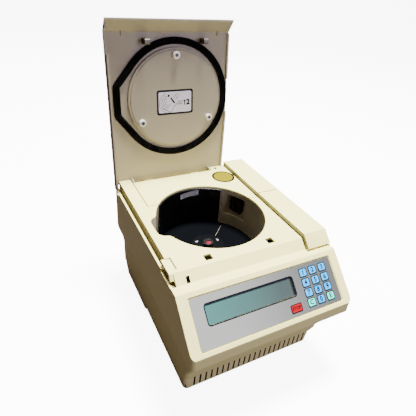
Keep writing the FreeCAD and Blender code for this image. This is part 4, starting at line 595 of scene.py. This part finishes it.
camera = {
    "place": (-253.80, -410.39, 508.64), "target": (81.61, 184.48, 103.0), "roll": 0.092,
    "focal": 389.98, "centreX": 209.677, "centreY": 193.108, "imageSize": 416.0, "sensor": 36.0, "reach": 200,
}
studio = {
    "floorHalf": 40, "floorRoughness": 0.9, "floorBounce": (0.03, 0.022, 0.026, 1),
    "floorSeen": (0.86, 0.86, 0.86, 1), "floorGlow": 8.4,
    "dimColor": (0.94, 0.69, 0.9, 1), "dimStrength": 0.12, "backdropStrength": 8.0, "aim": (0, 0, 0.15),
}
lamps = {
    "overhead": {"place": (0.25, 0.25, 2.3), "size": 0.6, "power": 285, "color": (1.0, 0.98, 0.93)},
    "front": {"place": (0.9, -2.0, 0.7), "size": 1.2, "power": 20, "color": (1.0, 0.93, 1.3)},
}


def addCamera():
    place = Vector(camera["place"]) * mm
    look = (Vector(camera["target"]) * mm - place).normalized()
    right = look.cross(Vector((0, 0, 1))).normalized()
    up = right.cross(look)
    roll = camera["roll"]
    turnedRight = right * math.cos(roll) + up * math.sin(roll)
    turnedUp = up * math.cos(roll) - right * math.sin(roll)
    data = bpy.data.cameras.new("camera")
    data.sensor_width = camera["sensor"]
    data.lens = camera["focal"] / camera["imageSize"] * camera["sensor"]
    half = camera["imageSize"] / 2
    data.shift_x = (half - camera["centreX"]) / camera["imageSize"]
    data.shift_y = (camera["centreY"] - half) / camera["imageSize"]
    data.clip_end = camera["reach"]
    view = bpy.data.objects.new("camera", data)
    view.matrix_world = Matrix((
        (turnedRight.x, turnedUp.x, -look.x, place.x),
        (turnedRight.y, turnedUp.y, -look.y, place.y),
        (turnedRight.z, turnedUp.z, -look.z, place.z),
        (0, 0, 0, 1),
    ))
    bpy.context.scene.collection.objects.link(view)
    bpy.context.scene.camera = view


def addFloor():
    # pale floor, whose bounce onto the sides is kept warm and dim
    bm = bmesh.new()
    bmesh.ops.create_grid(bm, x_segments=1, y_segments=1, size=studio["floorHalf"])
    mesh = bpy.data.meshes.new("floor")
    bm.to_mesh(mesh)
    bm.free()
    floor = bpy.data.objects.new("floor", mesh)
    bpy.context.scene.collection.objects.link(floor)
    material = bpy.data.materials.new("floor")
    material.use_nodes = True
    tree = material.node_tree
    shader = tree.nodes["Principled BSDF"]
    shader.inputs["Roughness"].default_value = studio["floorRoughness"]
    path = tree.nodes.new("ShaderNodeLightPath")
    mix = tree.nodes.new("ShaderNodeMix")
    mix.data_type = "RGBA"
    mix.inputs["A"].default_value = studio["floorBounce"]
    mix.inputs["B"].default_value = studio["floorSeen"]
    tree.links.new(path.outputs["Is Camera Ray"], mix.inputs["Factor"])
    tree.links.new(mix.outputs["Result"], shader.inputs["Base Color"])
    glow = tree.nodes.new("ShaderNodeMath")
    glow.operation = "MULTIPLY"
    glow.inputs[1].default_value = studio["floorGlow"]
    tree.links.new(path.outputs["Is Camera Ray"], glow.inputs[0])
    tree.links.new(glow.outputs[0], shader.inputs["Emission Strength"])
    shader.inputs["Emission Color"].default_value = (1, 1, 1, 1)
    mesh.materials.append(material)


def addLight(name, look):
    data = bpy.data.lights.new(name, "AREA")
    data.shape = "DISK"
    data.size = look["size"]
    data.energy = look["power"]
    data.color = look["color"]
    lamp = bpy.data.objects.new(name, data)
    lamp.location = look["place"]
    lamp.rotation_euler = (Vector(studio["aim"]) - Vector(look["place"])).to_track_quat("-Z", "Y").to_euler()
    bpy.context.scene.collection.objects.link(lamp)


def addWorld():
    # dim tinted light all round, seen as a white backdrop
    world = bpy.data.worlds.new("studio")
    world.use_nodes = True
    tree = world.node_tree
    dim = tree.nodes["Background"]
    dim.inputs["Color"].default_value = studio["dimColor"]
    dim.inputs["Strength"].default_value = studio["dimStrength"]
    white = tree.nodes.new("ShaderNodeBackground")
    white.inputs["Color"].default_value = (1, 1, 1, 1)
    white.inputs["Strength"].default_value = studio["backdropStrength"]
    path = tree.nodes.new("ShaderNodeLightPath")
    choice = tree.nodes.new("ShaderNodeMixShader")
    tree.links.new(path.outputs["Is Camera Ray"], choice.inputs["Fac"])
    tree.links.new(dim.outputs["Background"], choice.inputs[1])
    tree.links.new(white.outputs["Background"], choice.inputs[2])
    tree.links.new(choice.outputs["Shader"], tree.nodes["World Output"].inputs["Surface"])
    bpy.context.scene.world = world


addCamera()
addFloor()
for lampName, lampLook in lamps.items():
    addLight(lampName, lampLook)
addWorld()
print("camera and lights")


# Console prints: keys, legends and the frame of the display

console = {
    "keyZ": -0.1, "keyWidth": 12.6, "keyHeight": 11.4, "keyCorner": 1.8, "outline": 1.15,
    "columns": (57.7, 73.6, 89.7), "rows": (57.0, 43.6, 30.6, 17.6),
    "legends": (("1", "2", "3"), ("4", "5", "6"), ("7", "8", "9"), ("C", "0", "E")),
    "stopX": 32.4, "stopRow": 17.1, "stopWidth": 17.5, "stopHeight": 11.0,
    "windowLeft": -89.0, "windowRight": 38.5, "windowLow": 32.1, "windowHigh": 56.7,
    "windowCorner": 3.0, "windowRim": 1.4, "windowZ": (-0.56, -0.44),
    "outlineLow": 0.05, "outlineHigh": 0.04, "faceLow": 0.02, "faceHigh": 0.10, "faceCorner": 0.4,
    "legendHigh": 0.11, "legendThick": 0.02, "digitSize": 8.6, "digitBold": 0.035,
    "stopSize": 5.6, "stopBold": 0.03,
}
sameSpot = 1e-9


def consoleMatrix():
    place = Matrix.Translation(Vector((0, slope["lowerY"], slope["lowerZ"])) * mm)
    return place @ Matrix.Rotation(slopeTurn, 4, "X")


def roundedPlate(bm, x0, x1, y0, y1, z0, z1, corner, steps=5):
    # rounded rectangle made from a beveled square plate, all in millimetres
    made = bmesh.ops.create_cube(bm, size=1.0)["verts"]
    middle = Vector(((x0 + x1) / 2, (y0 + y1) / 2, (z0 + z1) / 2)) * mm
    scale = Vector((x1 - x0, y1 - y0, z1 - z0)) * mm
    bmesh.ops.scale(bm, vec=scale, verts=made)
    bmesh.ops.translate(bm, vec=middle, verts=made)
    spans = {e: e.verts[0].co - e.verts[1].co for v in made for e in v.link_edges}
    upright = [e for e, span in spans.items() if abs(span.x) < sameSpot and abs(span.y) < sameSpot]
    bmesh.ops.bevel(bm, geom=upright, offset=corner * mm, offset_type="OFFSET", segments=steps, profile=0.5,
                    affect="EDGES", material=-1)


def finishPiece(name, bm, material, body, matrix=None):
    # writes a bmesh to an object that sits at the origin and rides on a body
    if matrix is not None:
        bmesh.ops.transform(bm, matrix=matrix, verts=bm.verts[:])
    mesh = bpy.data.meshes.new(name)
    bm.to_mesh(mesh)
    bm.free()
    mesh.materials.append(materials[material])
    piece = bpy.data.objects.new(name, mesh)
    bpy.context.scene.collection.objects.link(piece)
    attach(piece, body)
    return piece


def addKeys():
    # every key is a dark rounded plate with a smaller coloured one on it
    width, height, edge = console["keyWidth"], console["keyHeight"], console["outline"]
    corner, faceCorner = console["keyCorner"], console["keyCorner"] - console["faceCorner"]
    top = console["keyZ"]
    outlineZ = (top - console["outlineLow"], top + console["outlineHigh"])
    faceZ = (top - console["faceLow"], top + console["faceHigh"])
    outlines, blue, mint, red = bmesh.new(), bmesh.new(), bmesh.new(), bmesh.new()
    for rowNumber, y in enumerate(console["rows"]):
        for columnNumber, x in enumerate(console["columns"]):
            legend = console["legends"][rowNumber][columnNumber]
            roundedPlate(outlines, x - width / 2, x + width / 2, y - height / 2, y + height / 2,
                         *outlineZ, corner)
            face = mint if legend in "CE" else blue
            roundedPlate(face, x - width / 2 + edge, x + width / 2 - edge, y - height / 2 + edge,
                         y + height / 2 - edge, *faceZ, faceCorner)
    x, y = console["stopX"], console["stopRow"]
    halfWidth, halfHeight = console["stopWidth"] / 2, console["stopHeight"] / 2
    roundedPlate(outlines, x - halfWidth, x + halfWidth, y - halfHeight, y + halfHeight, *outlineZ, corner)
    roundedPlate(red, x - halfWidth + edge, x + halfWidth - edge, y - halfHeight + edge,
                 y + halfHeight - edge, *faceZ, faceCorner)
    place = consoleMatrix()
    finishPiece("keyOutlines", outlines, "printDark", "root", place)
    finishPiece("keysBlue", blue, "keyBlue", "root", place)
    finishPiece("keysMint", mint, "keyMint", "root", place)
    finishPiece("keyStop", red, "keyRed", "root", place)


def textMesh(text, size, thickness, material, name, body, matrix, bold):
    # letters as a thin solid, centred on the place that the matrix gives
    curve = bpy.data.curves.new(name, "FONT")
    curve.body = text
    curve.size = size * mm
    curve.extrude = thickness * mm
    curve.offset = size * bold * mm
    curve.resolution_u = 4
    curve.align_x = "CENTER"
    curve.align_y = "CENTER"
    carrier = bpy.data.objects.new(name + "Text", curve)
    bpy.context.scene.collection.objects.link(carrier)
    bpy.context.view_layer.update()
    mesh = bpy.data.meshes.new_from_object(carrier.evaluated_get(bpy.context.evaluated_depsgraph_get()))
    bpy.data.objects.remove(carrier)
    bpy.data.curves.remove(curve)
    mesh.name = name
    mesh.transform(matrix)
    mesh.materials.clear()
    mesh.materials.append(materials[material])
    piece = bpy.data.objects.new(name, mesh)
    bpy.context.scene.collection.objects.link(piece)
    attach(piece, body)


def addLegends():
    place = consoleMatrix()
    top = (console["keyZ"] + console["legendHigh"]) * mm
    thick = console["legendThick"]
    for rowNumber, y in enumerate(console["rows"]):
        for columnNumber, x in enumerate(console["columns"]):
            legend = console["legends"][rowNumber][columnNumber]
            at = place @ Matrix.Translation((x * mm, y * mm, top))
            textMesh(legend, console["digitSize"], thick, "printDark", "legend_" + legend, "root",
                     at, console["digitBold"])
    at = place @ Matrix.Translation((console["stopX"] * mm, console["stopRow"] * mm, top))
    textMesh("STOP", console["stopSize"], thick, "printDark", "legend_STOP", "root", at,
             console["stopBold"])


def ringPlate(bm, outer, inner, z0, z1, corner, innerCorner, steps=6):
    # flat frame between two rounded rectangles, given as (x0, x1, y0, y1) in millimetres
    loops = []
    for (x0, x1, y0, y1), radius in ((outer, corner), (inner, innerCorner)):
        ring = []
        for cx, cy, start in ((x1 - radius, y1 - radius, 0), (x0 + radius, y1 - radius, 90),
                              (x0 + radius, y0 + radius, 180), (x1 - radius, y0 + radius, 270)):
            for i in range(steps + 1):
                angle = math.radians(start + 90 * i / steps)
                ring.append(bm.verts.new(((cx + radius * math.cos(angle)) * mm,
                                          (cy + radius * math.sin(angle)) * mm, z1 * mm)))
        loops.append([bm.edges.new((ring[i - 1], ring[i])) for i in range(len(ring))])
    faces = bmesh.ops.bridge_loops(bm, edges=loops[0] + loops[1])["faces"]
    bmesh.ops.solidify(bm, geom=faces, thickness=(z1 - z0) * mm)
    bmesh.ops.recalc_face_normals(bm, faces=bm.faces[:])


def addWindowFrame():
    # dark printed frame round the display window
    x0, x1, y0, y1 = (console[k] for k in ("windowLeft", "windowRight", "windowLow", "windowHigh"))
    bm = bmesh.new()
    rim = console["windowRim"]
    ringPlate(bm, (x0 - rim, x1 + rim, y0 - rim, y1 + rim), (x0, x1, y0, y1),
              *console["windowZ"], console["windowCorner"] + rim, console["windowCorner"])
    finishPiece("windowFrame", bm, "printDark", "root", consoleMatrix())


addKeys()
addLegends()
addWindowFrame()
print("console prints")


# Labels and small marks

def openedMatrix():
    centre = Vector((0, hinge["y"], hinge["z"])) * mm
    turn = Matrix.Rotation(math.radians(-hinge["open"]), 4, "X")
    return Matrix.Translation(centre) @ turn @ Matrix.Translation(-centre)


lidLabel = {
    "x": -14.5, "y": 11.5, "plateZ": 186.5, "width": 62.0, "height": 39.0, "corner": 3.6, "border": 3.0,
    "frameZ": (0.0, 0.12), "fieldZ": (0.05, 0.18), "markZ": (0.16, 0.22), "drawingZ": 0.2, "overZ": 0.22,
}


def lidLabelMatrix():
    # local X to the right and local Y towards the lid's front edge, seen from the inside of the lid
    flip = Matrix.Rotation(math.radians(180), 4, "X")
    place = Vector((lidLabel["x"], lidLabel["y"], lidLabel["plateZ"])) * mm
    return openedMatrix() @ Matrix.Translation(place) @ flip


gasket = {
    "x": -13.0, "y": 7.0, "radius": 92.6, "leftX": -112.4, "corner": 14.0, "frontY": -12.97, "rearY": 24.85,
    "width": 10.3, "lowZ": 187.8, "highZ": 191.0, "edge": 0.7, "level": 1e-7, "rimAngle": 60,
}


def gasketLoop(bm, inward, z):
    # one edge of the seal: a circle whose left side is pulled out to a straight stretch
    centre = Vector((gasket["x"], gasket["y"]))
    big, small = gasket["radius"] - inward, gasket["corner"] - inward
    arcs = []
    for cornerY, side in ((gasket["rearY"], 1), (gasket["frontY"], -1)):
        corner = Vector((gasket["leftX"] + gasket["corner"], cornerY))
        toCentre = centre - corner
        lean = math.acos((small - big) / toCentre.length)
        arcs.append((corner, math.atan2(toCentre.y, toCentre.x) + side * lean))
    (rear, rearAngle), (front, frontAngle) = arcs
    stretches = ((centre, big, frontAngle, rearAngle, 96), (rear, small, rearAngle, math.pi, 8),
                 (front, small, math.pi, frontAngle + 2 * math.pi, 8))
    ring = []
    for middle, radius, start, end, steps in stretches:
        for i in range(steps + 1):
            angle = start + (end - start) * i / steps
            ring.append(bm.verts.new(((middle.x + radius * math.cos(angle)) * mm,
                                      (middle.y + radius * math.sin(angle)) * mm, z * mm)))
    return [bm.edges.new((ring[i - 1], ring[i])) for i in range(len(ring))]


def addGasket():
    # soft foam ring of one width, with rounded edges
    bm = bmesh.new()
    low = gasket["lowZ"]
    loops = gasketLoop(bm, 0.0, low) + gasketLoop(bm, gasket["width"], low)
    faces = bmesh.ops.bridge_loops(bm, edges=loops)["faces"]
    made = bmesh.ops.extrude_face_region(bm, geom=faces)["geom"]
    raised = [g for g in made if isinstance(g, bmesh.types.BMVert)]
    bmesh.ops.translate(bm, vec=(0, 0, (gasket["highZ"] - low) * mm), verts=raised)
    bmesh.ops.recalc_face_normals(bm, faces=bm.faces[:])
    rims = [e for e in bm.edges if all(abs(v.co.z - low * mm) < gasket["level"] for v in e.verts)
            and e.calc_face_angle(0) > math.radians(gasket["rimAngle"])]
    bmesh.ops.bevel(bm, geom=rims, offset=gasket["edge"] * mm, offset_type="OFFSET", segments=3, profile=0.5,
                    affect="EDGES", material=-1)
    piece = finishPiece("lidGasketFoam", bm, "gasketBlack", "lid", openedMatrix())
    piece.data.shade_smooth()
    piece.data.set_sharp_from_angle(angle=smoothAngle)
    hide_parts("lid_gasket")


lidLip = {"spans": ((-117.4, -93.2), (51.2, 76.4)), "y": (133.7, 141.4), "z": (191.6, 194.1), "edge": 0.5}


def addLidLip():
    # rear edge of the lid beside its tongue, which closes the view behind the deck
    bm = bmesh.new()
    for x0, x1 in lidLip["spans"]:
        roundedPlate(bm, x0, x1, *lidLip["y"], *lidLip["z"], lidLip["edge"], 2)
    finishPiece("lidRearLip", bm, "lidShadedCream", "lid", openedMatrix())


# painted shade: a dark sheet that stands in for the shade inside the tray behind the vents
ventShadeSheet = {"halfWidth": 103.0, "y": (-123.6, -123.2), "z": (4.5, 26.5), "corner": 1.0}


def addVentShadeSheet():
    # dark sheet behind the vents of the tray, put there as painted shade for the dark inside of the tray
    bm = bmesh.new()
    (y0, y1), (z0, z1) = ventShadeSheet["y"], ventShadeSheet["z"]
    half = ventShadeSheet["halfWidth"]
    roundedPlate(bm, -half, half, z0, z1, -y1, -y0, ventShadeSheet["corner"], 3)
    upright = Matrix.Rotation(math.radians(90), 4, "X")
    finishPiece("ventShadeSheet", bm, "ventShadeBlack", "root", upright)


def addLidLabel():
    # black frame, pale field and plain numbers without words
    place = lidLabelMatrix()
    w, h, edge = lidLabel["width"] / 2, lidLabel["height"] / 2, lidLabel["border"]
    bm = bmesh.new()
    roundedPlate(bm, -w, w, -h, h, *lidLabel["frameZ"], lidLabel["corner"])
    finishPiece("lidLabelFrame", bm, "labelBlack", "lid", place)
    bm = bmesh.new()
    roundedPlate(bm, -w + edge, w - edge, -h + edge, h - edge, *lidLabel["fieldZ"], lidLabel["corner"] - 1)
    finishPiece("lidLabelField", bm, "labelLavender", "lid", place)
    at = place @ Matrix.Translation((22.3 * mm, -1.5 * mm, lidLabel["drawingZ"] * mm))
    textMesh("2", 11.5, 0.03, "labelBlack", "lidLabelNumber", "lid", at, 0.06)
    bm = bmesh.new()
    lineStrip(bm, 16.6, -5.6, 16.6, 2.6, 1.9, lidLabel["overZ"])
    lineStrip(bm, 14.2, 0.9, 16.4, 2.2, 1.5, 0.21)
    finishPiece("lidLabelOne", bm, "labelBlack", "lid", place)
    bm = bmesh.new()
    for x in (6.2, 10.4):
        ringPlate(bm, (x - 1.7, x + 1.7, -4.2, 1.8), (x - 1.1, x + 1.1, -3.4, 1.0),
                  *lidLabel["markZ"], 1.2, 0.7)
    finishPiece("lidLabelMarks", bm, "labelGrey", "lid", place)


def arcStrip(bm, x, y, radius, start, sweep, width, z, steps=20):
    # flat curved line, in millimetres
    rows = []
    for i in range(steps + 1):
        angle = math.radians(start + sweep * i / steps)
        rows.append([bm.verts.new(((x + r * math.cos(angle)) * mm, (y + r * math.sin(angle)) * mm, z * mm))
                     for r in (radius - width / 2, radius + width / 2)])
    for a, b in zip(rows, rows[1:]):
        bm.faces.new((a[0], a[1], b[1], b[0]))


def lineStrip(bm, x0, y0, x1, y1, width, z):
    # flat straight line, in millimetres
    side = Vector((y0 - y1, x1 - x0)).normalized() * width / 2
    corners = ((x0 + side.x, y0 + side.y), (x0 - side.x, y0 - side.y),
               (x1 - side.x, y1 - side.y), (x1 + side.x, y1 + side.y))
    bm.faces.new([bm.verts.new((x * mm, y * mm, z * mm)) for x, y in corners])


def addLidPictogram():
    # plain drawing: curved lines, a folded outline, a small tube and a dot
    place = lidLabelMatrix()
    grey, black = bmesh.new(), bmesh.new()
    for radius, start, sweep, width in ((15.0, 105, 150, 0.6), (11.0, 100, 165, 0.8), (7.4, 105, 180, 0.8),
                                        (4.2, 130, 200, 0.7)):
        arcStrip(grey, -12, -1, radius, start, sweep, width, lidLabel["drawingZ"])
    outline = ((-22, -9, -8, -16), (-8, -16, 4, -1), (-3, 7, 4, 14), (0, 4, 7, 11))
    for x0, y0, x1, y1 in outline:
        lineStrip(grey, x0, y0, x1, y1, 0.7, lidLabel["drawingZ"])
    lineStrip(black, -7.5, 7.0, -1.0, -1.5, 2.6, lidLabel["overZ"])
    dot = bmesh.ops.create_circle(black, cap_ends=True, segments=16, radius=2.0 * mm)["verts"]
    bmesh.ops.translate(black, vec=(-11.0 * mm, 10.5 * mm, lidLabel["overZ"] * mm), verts=dot)
    finishPiece("lidLabelDrawing", grey, "labelGrey", "lid", place)
    finishPiece("lidLabelTube", black, "labelBlack", "lid", place)


def disc(radius, thickness, z, segments=64):
    bm = bmesh.new()
    made = bmesh.ops.create_cone(bm, cap_ends=True, segments=segments, radius1=radius * mm,
                                 radius2=radius * mm, depth=thickness * mm)["verts"]
    bmesh.ops.translate(bm, vec=(0, 0, z * mm), verts=made)
    return bm


deckSticker = {
    "x": 59.4, "y": 102.8, "deckZ": 187.5, "radius": 19.9, "border": 3.4,
    "thick": 0.12, "rimZ": 0.06, "fieldZ": 0.12,
}


def addDeckSticker():
    place = Matrix.Translation(Vector((deckSticker["x"], deckSticker["y"], deckSticker["deckZ"])) * mm)
    radius, thick = deckSticker["radius"], deckSticker["thick"]
    rim = disc(radius, thick, deckSticker["rimZ"])
    field = disc(radius - deckSticker["border"], thick, deckSticker["fieldZ"])
    finishPiece("stickerRim", rim, "labelBlack", "root", place)
    finishPiece("stickerField", field, "stickerYellow", "root", place)


wallLabel = {"x": -13.0, "y": 7.0, "radius": 78.3, "startAngle": 78.0, "endAngle": 101.6,
             "rightZ": (173.0, 182.4), "leftZ": (169.5, 178.7), "steps": 10, "thick": 0.1}


def addWallLabel():
    # small blank label that follows the curve of the black shield
    bm = bmesh.new()
    made = bmesh.ops.create_grid(bm, x_segments=wallLabel["steps"], y_segments=1, size=0.5)["verts"]
    sweep = wallLabel["endAngle"] - wallLabel["startAngle"]
    for vert in made:
        along = vert.co.x + 0.5
        up = vert.co.y + 0.5
        angle = math.radians(wallLabel["startAngle"] + sweep * along)
        low = wallLabel["rightZ"][0] + (wallLabel["leftZ"][0] - wallLabel["rightZ"][0]) * along
        high = wallLabel["rightZ"][1] + (wallLabel["leftZ"][1] - wallLabel["rightZ"][1]) * along
        vert.co = Vector((wallLabel["x"] + wallLabel["radius"] * math.cos(angle),
                          wallLabel["y"] + wallLabel["radius"] * math.sin(angle),
                          low + (high - low) * up)) * mm
    bmesh.ops.solidify(bm, geom=bm.faces[:], thickness=wallLabel["thick"] * mm)
    bmesh.ops.recalc_face_normals(bm, faces=bm.faces[:])
    finishPiece("wallLabel", bm, "labelWhite", "root")


addGasket()
addLidLip()
addVentShadeSheet()
addLidLabel()
addLidPictogram()
addDeckSticker()
addWallLabel()
print("labels")
